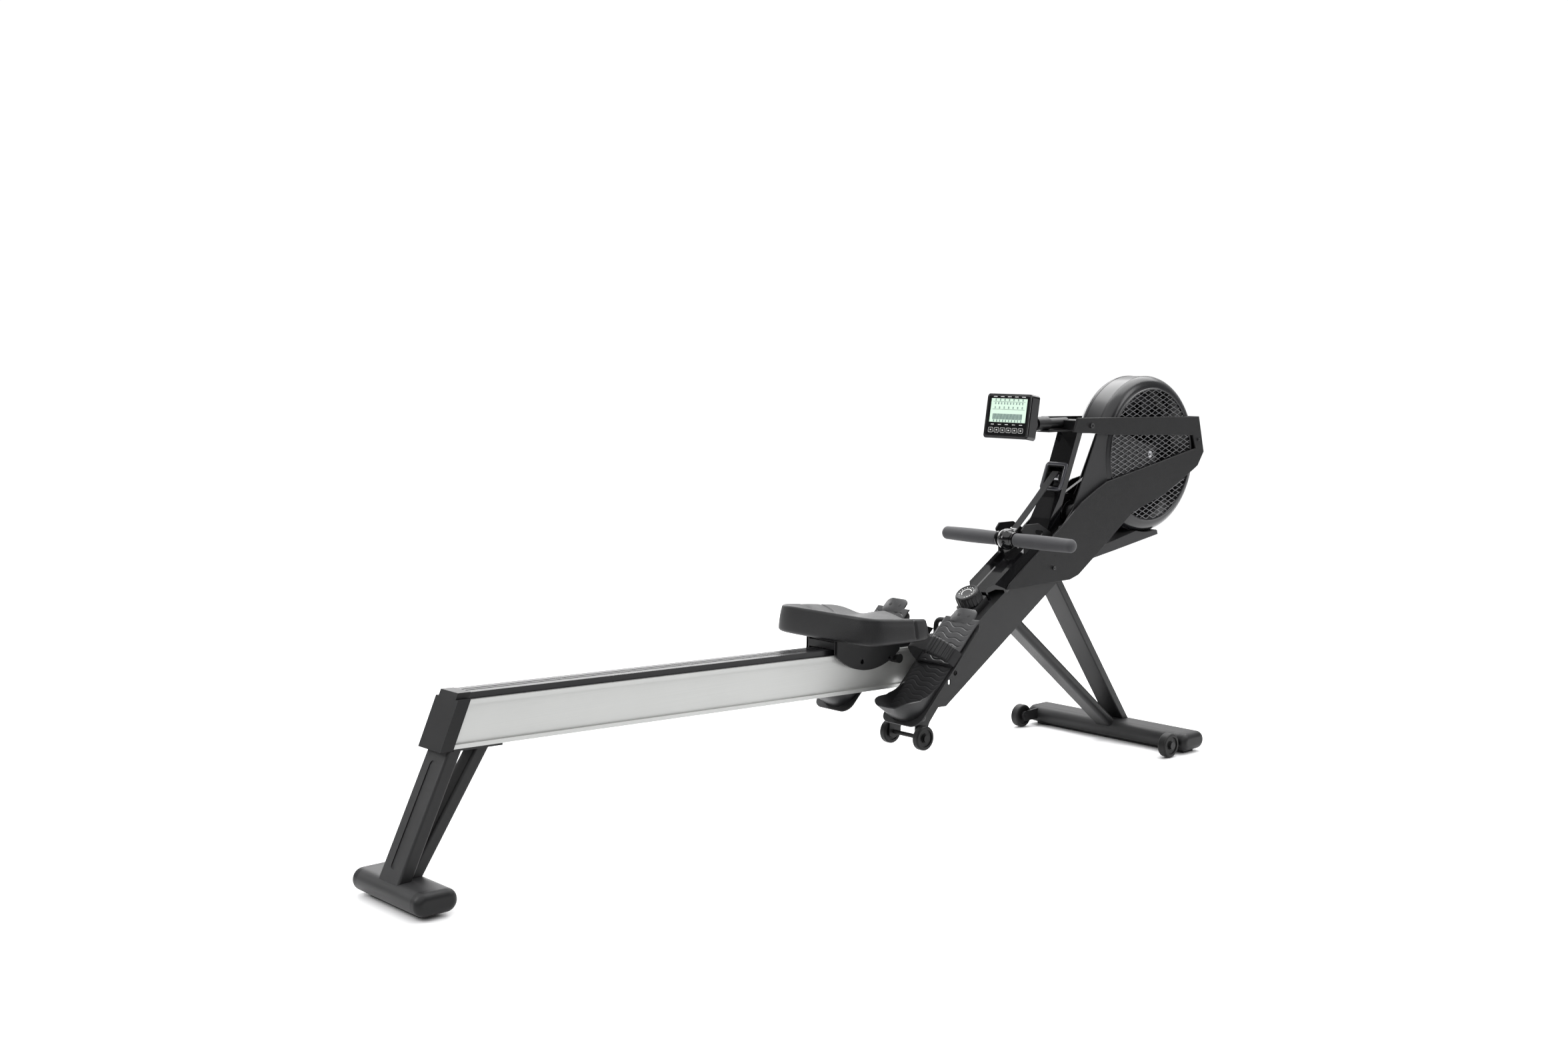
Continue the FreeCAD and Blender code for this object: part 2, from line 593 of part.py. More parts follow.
def tower():
    outer = prism(tower_outline(), -31, 31)
    face = Part.Face(Part.makePolygon([Vector(x, 0, z) for x, z in tower_outline() + tower_outline()[:1]]))
    core = face.makeOffset2D(-2.5)
    core.translate(Vector(0, -28.5, 0))
    hollow = core.extrude(Vector(0, 57, 0))
    window = turned(box(-30, 33, -21.5, 21.5, -7, 12), 660, 684, 67.5)
    cover = outer.cut(hollow).cut(window).cut(inner_strap_shape(12, 6))
    idler_pin = rod(IDLER_X, IDLER_Z, 3, -28.5, 28.5)
    guide_bar = rod(646, 606, 3.5, -28.5, 28.5)
    # Rounded frame of the strap opening, on the user's side of the tower
    frame = rounded(box(-34, 34, -33, 33, 0.3, 6), 7.0, Vector(0, 0, 1))
    frame = frame.cut(rounded(box(-24, 24, -21.5, 21.5, -1, 8), 4.0, Vector(0, 0, 1)))
    frame.translate(Vector(0, 0, 8.7))
    bezel = turned(frame, 672.0, 680.0, 67.5)
    save("tower_cover", cover, bezel.cut(outer), idler_pin, guide_bar)


def handle_hook(y0, y1):
    """Flat finger that holds the handle against the pull of its strap."""
    outline = [(494, 566), (506, 579), (556, 579), (600, 556), (616, 536), (604, 508), (540, 476), (508, 470), (505, 520)]
    plate = prism(outline, y0, y1)
    rise = math.degrees(math.atan(PULL_RISE))
    path = box(-80, 0, 30, 50, -GRIP_R - 0.3, GRIP_R + 0.3)
    path.rotate(Vector(0, 0, 0), Vector(0, 1, 0), rise)
    path.translate(Vector(HANDLE_X, 0, HANDLE_Z))
    plate = plate.cut(rod(HANDLE_X, HANDLE_Z, GRIP_R + 0.3, 30, 50)).cut(path)
    web = prism([(547, 555), (565, 551), (567, 561), (549, 565)], 30, 50)
    slot = fused(rod(548, 560, 5, 30, 50), rod(566, 556, 5, 30, 50), web)
    plate = plate.cut(slot).cut(beam_envelope())
    return max(plate.Solids, key=lambda s: s.Volume)


def handle_hooks():
    save("handle_hooks", *both(handle_hook(38, 42)))


def shroud_outline():
    lower = [(HALF_LENGTH - 24, 818), (HALF_LENGTH, 725), (1173, 690), (1154, 680), (1031, 622), (903, 586),
             (781, 504), (690, 445), (658, 436), (426, 432)]
    upper = [(435, 444), (488, 481), (539, 513), (596, 550), (646, 584), (698, 622), (754, 650), (796, 668), (830, 674)]
    window = [(1161, 735), (1148, 770), (827, 782), (662, 795), (677, 829)]
    return lower + upper + window


def shroud():
    """Left shroud panel, two arms that join at the nose."""
    outline = shroud_outline()
    panel = prism(outline, SHROUD_IN, SHROUD_OUT)
    face = Part.Face(Part.makePolygon([Vector(x, 0, z) for x, z in outline + outline[:1]]))
    core = face.makeOffset2D(-3.0)
    core.translate(Vector(0, SHROUD_IN - 1, 0))
    panel = panel.cut(core.extrude(Vector(0, 3.0, 0)))
    edges = [e for e in panel.Edges if abs(e.BoundBox.YMin - SHROUD_OUT) < 1e-3]
    panel = panel.makeChamfer(1.2, edges)
    nose = prism([(HALF_LENGTH - 24, 818), (HALF_LENGTH, 725), (1173, 690), (1169, 693), (HALF_LENGTH - 4, 725.5),
                  (HALF_LENGTH - 28, 818)], 0.2, SHROUD_IN + 1)
    nose = nose.cut(rod(WHEEL_X, WHEEL_Z, HOUSING_R + 0.3, -1, HOUSING_HALF + 0.3))
    for x, z in ((1172.0, 758.0), (730.0, 808.0), (594.0, 470.0)):
        panel = panel.cut(rod(x, z, 2.0, 40, 55.9))
    return max(fused(panel, nose).Solids, key=lambda s: s.Volume)


def shrouds():
    left, right = both(shroud())
    save("shroud_left", left)
    save("shroud_right", right)


# ---------------------------------------------------------------- flywheel

def bracket_outline():
    return [(575, 440), (715, 492), (830, 600), (1003, 710), (1003, 744), (850, 787), (768, 787), (675, 605), (610, 540)]


def pan_outline():
    return [(700, 470), (853, 493), (1023, 520), (1020, 530), (985, 545), (702, 489)]


def drive_loop(extra, y0, y1):
    """Flat belt round the big and the small pulley, as the ring between two rounded outlines."""
    def hull(grow):
        distance = math.hypot(WHEEL_X - SPOOL_X, WHEEL_Z - SPOOL_Z)
        angle = math.atan2(WHEEL_Z - SPOOL_Z, WHEEL_X - SPOOL_X)
        lean = math.acos((DRIVE_R - SMALL_R) / distance)
        corners = []
        for side in (1, -1):
            direction = angle + side * lean
            for x, z, r in ((SPOOL_X, SPOOL_Z, DRIVE_R + grow), (WHEEL_X, WHEEL_Z, SMALL_R + grow)):
                corners.append((x + r * math.cos(direction), z + r * math.sin(direction)))
        span = prism([corners[0], corners[1], corners[3], corners[2]], y0, y1)
        return fused(span, rod(SPOOL_X, SPOOL_Z, DRIVE_R + grow, y0, y1), rod(WHEEL_X, WHEEL_Z, SMALL_R + grow, y0, y1))
    return hull(2.2 + extra).cut(hull(0.2 - extra))


def air_gap(y0, y1):
    """Side of the drum left open towards the rower, where the air comes out."""
    return prism([(700, 566), (781, 566), (893, 792), (700, 792)], y0, y1)


def housing_half():
    """Left half of the drum round the flywheel, with a round mouth for the grille."""
    outer = rod(WHEEL_X, WHEEL_Z, HOUSING_R, 0.2, HOUSING_HALF)
    outer = rounded_end(outer, 24.0, HOUSING_HALF)
    inner = rod(WHEEL_X, WHEEL_Z, HOUSING_R - 3, 0, HOUSING_HALF - 3)
    inner = rounded_end(inner, 21.0, HOUSING_HALF - 3)
    shell = outer.cut(inner).cut(rod(WHEEL_X, WHEEL_Z, GRILLE_R, 0, 60))
    shell = shell.cut(prism(bracket_outline(), BEAM_OUT - 0.3, BEAM_OUT + 3.3))
    return shell


def housings():
    half = housing_half()
    left, right = both(half)
    opening = drive_loop(3.0, 18, 32)
    left = left.cut(opening).cut(air_gap(-1, 60))
    right = right.cut(air_gap(-25, 1))
    left = max(left.Solids, key=lambda s: s.Volume)
    right = max(right.Solids, key=lambda s: s.Volume)
    save("housing_left", left)
    save("housing_right", right)


def grilles():
    """Round intake screens on both sides."""
    disc = rod(WHEEL_X, WHEEL_Z, GRILLE_R - 0.2, HOUSING_HALF - 3, HOUSING_HALF - 1)
    for row in range(-4, 5):
        half = math.sqrt(max(0.0, 150.0 ** 2 - (row * 34.0) ** 2))
        if half > 30:
            z = WHEEL_Z + row * 34.0
            disc = disc.cut(box(WHEEL_X - half, WHEEL_X - 12, 30, 70, z - 9, z + 9))
            disc = disc.cut(box(WHEEL_X + 12, WHEEL_X + half, 30, 70, z - 9, z + 9))
    left, right = both(disc)
    save("grilles", left.cut(air_gap(0, 60)), right)


def flywheel_brackets():
    plate = prism(bracket_outline(), BEAM_OUT, BEAM_OUT + 3)
    plate = plate.cut(rod(WHEEL_X, WHEEL_Z, AXLE_R, 0, 60)).cut(rod(SPOOL_X, SPOOL_Z, 6.0, 0, 60))
    pan = prism(pan_outline(), -BEAM_OUT, BEAM_OUT)
    pan = pan.cut(rod(WHEEL_X, WHEEL_Z, HOUSING_R + 0.1, -60, 60)).cut(on_beam(box(400, BEAM_END, -50, 50, -20, BEAM_DEPTH)))
    pan = max(pan.Solids, key=lambda s: s.Volume)
    left, right = both(plate)
    left = left.cut(prism([(560, 625), (790, 625), (802, 640), (885, 792), (885, 820), (560, 820)], 0, 60))
    left = max(left.Solids, key=lambda s: s.Volume)
    save("flywheel_brackets", left, right, pan)


def flywheel_axle():
    """Fixed axle with its two bearings, and the fixed shaft of the strap spool."""
    axle = rod(WHEEL_X, WHEEL_Z, AXLE_R, -BEAM_OUT - 3, BEAM_OUT + 3)
    bearing = ring(WHEEL_X, WHEEL_Z, 16.0, AXLE_R, 6, 17)
    shaft = rod(SPOOL_X, SPOOL_Z, 6.0, -BEAM_OUT - 3, BEAM_OUT + 3)
    save("flywheel_axle", axle, *both(bearing), shaft)


def flywheel_fan():
    """Metal disc with fan blades and a hub."""
    disc = rod(WHEEL_X, WHEEL_Z, FLY_R, -3, 3)
    hub = rod(WHEEL_X, WHEEL_Z, 26.0, -18, 18)
    blades = []
    for number in range(12):
        blade = box(24, 132, -18, 18, -1, 1)
        blade.rotate(Vector(0, 0, 0), Vector(0, 1, 0), number * 30.0)
        blade.translate(Vector(WHEEL_X, 0, WHEEL_Z))
        blades.append(blade)
    body = fused(disc, hub, *blades).cut(rod(WHEEL_X, WHEEL_Z, 16.0 + RUNNING, -30, 30))
    save("flywheel_fan", body)


def drive_pulley():
    wheel = fused(rod(SPOOL_X, SPOOL_Z, DRIVE_R, 20, 31), rod(SPOOL_X, SPOOL_Z, 12, 14, 21))
    wheel = wheel.cut(rod(SPOOL_X, SPOOL_Z, 6.0 + RUNNING, 0, 60))
    for number in range(5):
        angle = math.radians(number * 72.0)
        x, z = SPOOL_X + 30 * math.cos(angle), SPOOL_Z + 30 * math.sin(angle)
        wheel = wheel.cut(rod(x, z, 11.0, 0, 60))
    save("drive_pulley", wheel)


def strap_spool():
    drum = rod(SPOOL_X, SPOOL_Z, SPOOL_R - 1, -12, 12)
    flange = rod(SPOOL_X, SPOOL_Z, SPOOL_R + 9, 12, 14)
    spring_case = rod(SPOOL_X, SPOOL_Z, 34, -38, -14)
    body = fused(drum, *both(flange), spring_case).cut(rod(SPOOL_X, SPOOL_Z, 6.0 + RUNNING, -60, 60))
    save("strap_spool", body)


def magnet_caliper():
    """Two magnet shoes that straddle the flywheel's rim, on a bar between the brackets."""
    shoe = prism([(-26, -172), (26, -172), (22, -136), (-22, -136)], 5, 11)
    bridge = box(-20, 20, -11, 11, -180, -168)
    stay = rod(0, -176, 4, -BEAM_OUT, BEAM_OUT)
    body = fused(*both(shoe), bridge, stay)
    body.rotate(Vector(0, 0, 0), Vector(0, 1, 0), 60.0)
    body.translate(Vector(WHEEL_X, 0, WHEEL_Z))
    save("magnet_caliper", body)


def idler_roller():
    """Small roller behind the lip of the tower's opening, on a pin across the tower."""
    roller = ring(IDLER_X, IDLER_Z, IDLER_R, 3 + RUNNING, -14, 14)
    save("idler_roller", roller)


def clutch_pulley():
    """Small belt pulley that drives the flywheel through a one-way clutch."""
    pulley = ring(WHEEL_X, WHEEL_Z, SMALL_R, AXLE_R + RUNNING, 19, 31)
    flange = ring(WHEEL_X, WHEEL_Z, SMALL_R + 4, SMALL_R - 1, 18.6, 20)
    save("clutch_pulley", fused(pulley, flange))


def inner_belts():
    save("inner_belts", inner_strap_shape(10, 2), drive_loop(0, 21, 30))


# ---------------------------------------------------------------- knob, handle, console

def knob():
    base = rounded(box(205, 259, -28, 28, BEAM_DEPTH, BEAM_DEPTH + 19.5), 3.0, Vector(0, 0, 1))
    base = base.cut(Part.makeCylinder(5 + RUNNING, 30, Vector(231, 0, BEAM_DEPTH + 5), Vector(0, 0, 1)))
    save("knob_base", on_beam(base))
    dial = Part.makeCylinder(31, 30, Vector(231, 0, BEAM_DEPTH + 20), Vector(0, 0, 1))
    dial = dial.makeFillet(3.0, [e for e in dial.Edges if e.BoundBox.ZMin > BEAM_DEPTH + 49])
    for number in range(20):
        angle = math.radians(number * 18.0)
        x, y = 231 + 32.5 * math.cos(angle), 32.5 * math.sin(angle)
        dial = dial.cut(Part.makeCylinder(2.6, 22, Vector(x, y, BEAM_DEPTH + 19), Vector(0, 0, 1)))
    shaft = Part.makeCylinder(5, 15, Vector(231, 0, BEAM_DEPTH + 6), Vector(0, 0, 1))
    save("resistance_knob", on_beam(fused(dial, shaft)))


def handle():
    bar = rod(HANDLE_X, HANDLE_Z, 11, -HANDLE_HALF + 4, HANDLE_HALF - 4)
    hub = Part.makeSphere(HUB_R, Vector(HANDLE_X, 0, HANDLE_Z))
    collar = rod(HANDLE_X, HANDLE_Z, 19, -26, 26)
    save("handle_core", fused(bar, hub, collar))
    grip = rod(HANDLE_X, HANDLE_Z, GRIP_R, 26.3, HANDLE_HALF)
    grip = grip.makeFillet(8.0, [e for e in grip.Edges if e.BoundBox.YMin > HANDLE_HALF - 1])
    grip = grip.cut(rod(HANDLE_X, HANDLE_Z, 11, 20, HANDLE_HALF - 4))
    save("handle_grips", *both(grip))


def handle_strap():
    """Webbing from the handle's hub to the opening in the tower."""
    x1, z1 = 657.5, 689.0
    length = math.hypot(x1 - HANDLE_X, z1 - HANDLE_Z)
    angle = math.degrees(math.atan2(z1 - HANDLE_Z, x1 - HANDLE_X))
    band = turned(box(HUB_R, length, -11, 11, -1.5, 1.5), HANDLE_X, HANDLE_Z, angle)
    save("handle_strap", band)


def console_arm():
    shelf = box(607, 732, -27, 27, 795, 799)
    bridge = box(680, 736, -53.2, 53.2, 799, 822)
    bridge = bridge.cut(box(684, 740, -50, 50, 798, 819))
    tube = Part.makeCylinder(13, 100, Vector(600, 0, ARM_Z), Vector(1, 0, 0))
    sleeve = Part.makeCylinder(17, 44, Vector(585, 0, ARM_Z), Vector(1, 0, 0))
    neck = box(560, 590, -9, 9, ARM_Z - 9, ARM_Z + 9)
    barrel = rod(TILT_X, ARM_Z, 14, -18, 18)
    pin = rod(TILT_X, ARM_Z, 4, -25, 25)
    save("console_arm", fused(shelf, bridge, tube, sleeve, neck, barrel, pin))


def on_console(shape):
    shape.rotate(Vector(0, 0, 0), Vector(0, 1, 0), FACE_TILT)
    shape.translate(Vector(FACE_X, 0, FACE_Z))
    return shape


def button_places():
    return [BUTTON_PITCH * (2.5 - number) for number in range(6)]


def console():
    half = CONSOLE_HEIGHT / 2
    case = rounded(box(0, CONSOLE_DEPTH, -CONSOLE_HALF, CONSOLE_HALF, -half, half), 8.0, Vector(1, 0, 0))
    edges = [e for e in case.Edges if abs(e.BoundBox.XMax) < 1e-3]
    case = case.makeFillet(2.5, edges)
    case = case.cut(box(-1, 3, -56.3, 56.3, -15.3, 42.3))
    for y in button_places():
        case = case.cut(box(-1, 6, y - 7.8, y + 7.8, -40.3, -27.7))
    case = on_console(case)
    ears = []
    for ear in both(prism([(505, 808), (TILT_X, 805), (TILT_X, 825), (505, 828)], 18.3, 23)):
        ears.append(ear)
    for ear in both(rod(TILT_X, ARM_Z, 13, 18.3, 23)):
        ears.append(ear)
    case = fused(case, *ears).cut(rod(TILT_X, ARM_Z, 4 + RUNNING, -60, 60))
    save("console_case", case)
    save("display", on_console(box(0.8, 2.9, -56, 56, -15, 42)))
    for number, y in enumerate(button_places()):
        cap = rounded(box(-1.2, 4.0, y - 7.5, y + 7.5, -40, -28), 2.5, Vector(1, 0, 0))
        save("button_" + str(number + 1), on_console(cap))


def build():
    os.makedirs("parts", exist_ok=True)
    for make in (rail_beam, rail_track, rail_cap, rear_legs, rear_foot, seat_bumpers, lift_bail, seat_cushion,
                 carriage_frame, carriage_covers, rollers, main_beam, frame_struts, stabiliser, wheel_brackets,
                 wheels, frame_bolts, lock_pin, foot_brackets, toe_plates, heel_cups, foot_straps, trough_cover,
                 tower, handle_hooks, shrouds, housings, grilles, flywheel_brackets, flywheel_axle,
                 flywheel_fan, clutch_pulley, idler_roller, drive_pulley, strap_spool, magnet_caliper,
                 inner_belts, knob, handle, handle_strap, console_arm, console):
        make()


build()
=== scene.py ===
import math

import bpy
import numpy as np
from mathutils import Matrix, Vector


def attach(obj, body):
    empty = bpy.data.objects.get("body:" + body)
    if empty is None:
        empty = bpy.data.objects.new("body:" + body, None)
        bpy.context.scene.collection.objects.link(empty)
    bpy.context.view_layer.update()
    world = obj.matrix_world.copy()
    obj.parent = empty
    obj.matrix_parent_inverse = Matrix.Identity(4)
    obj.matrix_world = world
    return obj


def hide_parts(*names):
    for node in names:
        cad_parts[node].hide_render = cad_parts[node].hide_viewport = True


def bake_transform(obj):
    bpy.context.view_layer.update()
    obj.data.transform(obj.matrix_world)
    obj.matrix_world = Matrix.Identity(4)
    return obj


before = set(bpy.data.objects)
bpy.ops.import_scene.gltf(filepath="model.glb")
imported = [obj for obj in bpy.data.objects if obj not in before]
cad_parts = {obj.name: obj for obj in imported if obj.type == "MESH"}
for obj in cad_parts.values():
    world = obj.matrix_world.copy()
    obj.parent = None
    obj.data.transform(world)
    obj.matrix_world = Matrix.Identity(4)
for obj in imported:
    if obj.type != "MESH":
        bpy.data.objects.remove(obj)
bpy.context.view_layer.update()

# Rowing machine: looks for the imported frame. Metres, +X towards the flywheel, +Y to the rower's left, +Z up.

# ------------------------------------------------------------------ camera

CAMERA_AT = Vector((-2.7709, -2.8293, 1.0272))
CAMERA_YAW = math.radians(48.044)
CAMERA_DIP = math.radians(5.92)
camera_data = bpy.data.cameras.new("camera")
camera_data.sensor_width = 36.0
camera_data.lens = 41.42
camera_data.clip_end = 200.0
camera = bpy.data.objects.new("camera", camera_data)
camera.location = CAMERA_AT
looking = Vector((math.cos(CAMERA_YAW) * math.cos(CAMERA_DIP), math.sin(CAMERA_YAW) * math.cos(CAMERA_DIP),
                  -math.sin(CAMERA_DIP)))
camera.rotation_euler = looking.to_track_quat("-Z", "Y").to_euler()
bpy.context.scene.collection.objects.link(camera)
bpy.context.scene.camera = camera

# ------------------------------------------------------------------ local frames, as the CAD lays them out

RAIL_TOP = 0.3332
RAIL_TILT = math.radians(1.8)
BEAM_TURN = math.radians(32.8)
FOOT_TURN = math.radians(44.5)
FACE_TURN = math.radians(9.6)
FLY = (0.980, 0.727)
KNOB_S = 0.231
FOOT_Y = 0.1085      # middle of each foot plate, left and right


def rail(u, y, v):
    """Point on the rail: u along it, v above its silver top."""
    x = u * math.cos(RAIL_TILT) + v * math.sin(RAIL_TILT)
    z = RAIL_TOP - u * math.sin(RAIL_TILT) + v * math.cos(RAIL_TILT)
    return np.stack(np.broadcast_arrays(x, y, z), -1)


def climbing(x0, z0, turn, s, y, t):
    """Point s along a line that climbs from (x0, z0), and t square to it."""
    x = x0 + s * math.cos(turn) - t * math.sin(turn)
    z = z0 + s * math.sin(turn) + t * math.cos(turn)
    return np.stack(np.broadcast_arrays(x, y, z), -1)


def beam(s, y, t):
    return climbing(0.233, 0.180, BEAM_TURN, s, y, t)


def foot(s, y, t):
    return climbing(0.010, 0.1815, FOOT_TURN, s, y, t)


def face(x, y, z):
    """Point on the console: x behind its face, z up the face from its middle."""
    px = 0.485 + x * math.cos(FACE_TURN) + z * math.sin(FACE_TURN)
    pz = 0.837 - x * math.sin(FACE_TURN) + z * math.cos(FACE_TURN)
    return np.stack(np.broadcast_arrays(px, y, pz), -1)


def eased(x, low, high):
    """0 below low, 1 above high, and a smooth S between them."""
    t = np.clip((x - low) / (high - low), 0.0, 1.0)
    return t * t * (3.0 - 2.0 * t)


# ------------------------------------------------------------------ meshes

def grid_faces(rows, columns, wrap_rows=False, wrap_columns=False, first=0):
    """Quads of a grid of points, row by row, closed round either way if asked."""
    r = np.arange(rows if wrap_rows else rows - 1)
    c = np.arange(columns if wrap_columns else columns - 1)
    rr, cc = np.meshgrid(r, c, indexing="ij")
    r2, c2 = (rr + 1) % rows, (cc + 1) % columns
    quads = np.stack([rr * columns + cc, rr * columns + c2, r2 * columns + c2, r2 * columns + cc], -1)
    return quads.reshape(-1, 4) + first


class Shape:
    """Points and faces gathered into one mesh."""

    def __init__(self):
        self.points = []
        self.faces = []
        self.count = 0

    def grid(self, surface, wrap_rows=False, wrap_columns=False, flip=False, ends=False):
        """Adds a surface given as rows x columns x 3; ends closes the first and last row with one face each."""
        rows, columns = surface.shape[:2]
        quads = grid_faces(rows, columns, wrap_rows, wrap_columns, self.count)
        faces = [tuple(q) for q in quads[:, ::-1].tolist()] if flip else [tuple(q) for q in quads.tolist()]
        if ends:
            first = list(range(self.count, self.count + columns))
            last = list(range(self.count + (rows - 1) * columns, self.count + rows * columns))
            faces.append(tuple(first if flip else first[::-1]))
            faces.append(tuple(last[::-1] if flip else last))
        self.points.append(surface.reshape(-1, 3))
        self.faces.extend(faces)
        self.count += rows * columns
        return self

    def mesh(self, name):
        data = bpy.data.meshes.new(name)
        data.from_pydata(np.concatenate(self.points).tolist(), [], self.faces)
        data.update()
        return data


def add_piece(name, shape, material, body, replaces=(), smooth=35.0):
    """Puts a shape into the scene on a CAD body, smooth except over edges sharper than smooth degrees."""
    data = shape.mesh(name) if isinstance(shape, Shape) else shape
    piece = bpy.data.objects.new(name, data)
    bpy.context.scene.collection.objects.link(piece)
    data.materials.append(material)
    data.polygons.foreach_set("use_smooth", [True] * len(data.polygons))
    if smooth < 180:
        data.set_sharp_from_angle(angle=math.radians(smooth))
    if body:
        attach(piece, body)
    for node in replaces:
        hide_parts(node)
    return piece


def ring_profile(profile, steps):
    """A closed outline (r, y) turned through a full circle about the Y axis: rows round the circle."""
    angle = np.linspace(0.0, 2 * np.pi, steps, endpoint=False)[:, None]
    r, y = profile[None, :, 0], profile[None, :, 1]
    return np.stack([r * np.cos(angle), y + 0 * angle, r * np.sin(angle)], -1)


def turned_solid(profile, steps, centre):
    """Outline (r, y) turned about the Y axis through centre (x, z)."""
    surface = ring_profile(np.array(profile, float), steps)
    surface[..., 0] += centre[0]
    surface[..., 2] += centre[1]
    return surface


def smooth_path(points, samples):
    """Catmull-Rom curve through points, resampled evenly along its length."""
    p = np.array(points, float)
    p = np.vstack([2 * p[0] - p[1], p, 2 * p[-1] - p[-2]])
    t = np.linspace(0, 1, 24, endpoint=False)[None, :, None]
    a, b, c, d = (p[i:len(p) - 3 + i][:, None, :] for i in range(4))
    curve = 0.5 * (2 * b + (c - a) * t + (2 * a - 5 * b + 4 * c - d) * t ** 2 + (3 * b - a - 3 * c + d) * t ** 3)
    curve = np.vstack([curve.reshape(-1, p.shape[1]), p[-2]])
    run = np.concatenate([[0], np.cumsum(np.linalg.norm(np.diff(curve, axis=0), axis=1))])
    at = np.linspace(0, run[-1], samples)
    return np.stack([np.interp(at, run, curve[:, k]) for k in range(p.shape[1])], -1), run[-1]


def rounded_box_outline(half_a, half_b, radius, per_corner=6):
    """Rounded rectangle, counter-clockwise."""
    corner = np.linspace(0, np.pi / 2, per_corner)
    rows = []
    for k, (sa, sb) in enumerate(((1, 1), (-1, 1), (-1, -1), (1, -1))):
        turn = corner + k * np.pi / 2
        rows.append(np.stack([sa * (half_a - radius) + radius * np.cos(turn),
                              sb * (half_b - radius) + radius * np.sin(turn)], -1))
    return np.concatenate(rows)


# ------------------------------------------------------------------ materials

def new_group(name, inputs, outputs):
    """Empty shader node group with named sockets."""
    group = bpy.data.node_groups.new(name, "ShaderNodeTree")
    for label, kind, value in inputs:
        socket = group.interface.new_socket(name=label, in_out="INPUT", socket_type=kind)
        if value is not None:
            socket.default_value = value
    for label, kind in outputs:
        group.interface.new_socket(name=label, in_out="OUTPUT", socket_type=kind)
    return group, group.nodes.new("NodeGroupInput"), group.nodes.new("NodeGroupOutput")


def math_node(tree, operation, a, b):
    node = tree.nodes.new("ShaderNodeMath")
    node.operation = operation
    for index, value in enumerate((a, b)):
        if isinstance(value, bpy.types.NodeSocket):
            tree.links.new(value, node.inputs[index])
        else:
            node.inputs[index].default_value = value
    return node.outputs[0]


def make_grain():
    """Moulded or coated surface: fine pebbled grain, slow drifts of shade, and a painted lighter tone on what faces up,
    standing in for light from above.
    """
    group, source, sink = new_group(
        "surface_grain",
        [("Color", "NodeSocketColor", (0.1, 0.1, 0.1, 1)), ("Roughness", "NodeSocketFloat", 0.5),
         ("Scale", "NodeSocketFloat", 900.0),
         ("Drift", "NodeSocketFloat", 0.15), ("Top Light", "NodeSocketFloat", 0.0)],
        [("Color", "NodeSocketColor"), ("Roughness", "NodeSocketFloat"), ("Height", "NodeSocketFloat")])
    nodes, links = group.nodes, group.links
    place = nodes.new("ShaderNodeTexCoord")
    fine = nodes.new("ShaderNodeTexVoronoi")
    links.new(place.outputs["Object"], fine.inputs["Vector"])
    links.new(source.outputs["Scale"], fine.inputs["Scale"])
    slow = nodes.new("ShaderNodeTexNoise")
    slow.inputs["Scale"].default_value = 9.0
    slow.inputs["Detail"].default_value = 4.0
    links.new(place.outputs["Object"], slow.inputs["Vector"])
    drift = math_node(group, "MULTIPLY", math_node(group, "SUBTRACT", slow.outputs["Fac"], 0.5),
                      source.outputs["Drift"])
    shade = nodes.new("ShaderNodeHueSaturation")
    links.new(math_node(group, "ADD", math_node(group, "MULTIPLY", drift, 2.0), 1.0), shade.inputs["Value"])
    links.new(source.outputs["Color"], shade.inputs["Color"])
    geometry = nodes.new("ShaderNodeNewGeometry")
    split = nodes.new("ShaderNodeSeparateXYZ")
    links.new(geometry.outputs["Normal"], split.inputs[0])
    # Painted light: faces that point up are mixed towards a pale grey, standing in for light falling from above
    up = math_node(group, "MULTIPLY", math_node(group, "MAXIMUM", split.outputs["Z"], 0.0),
                   source.outputs["Top Light"])
    up = math_node(group, "MULTIPLY", up, math_node(group, "ADD", slow.outputs["Fac"], 0.3))
    mix = nodes.new("ShaderNodeMix")
    mix.data_type = "RGBA"
    links.new(up, mix.inputs["Factor"])
    links.new(shade.outputs["Color"], mix.inputs["A"])
    mix.inputs["B"].default_value = (0.32, 0.32, 0.33, 1)
    links.new(mix.outputs["Result"], sink.inputs["Color"])
    rough = math_node(group, "ADD", source.outputs["Roughness"], drift)
    links.new(rough, sink.inputs["Roughness"])
    links.new(fine.outputs["Distance"], sink.inputs["Height"])
    return group


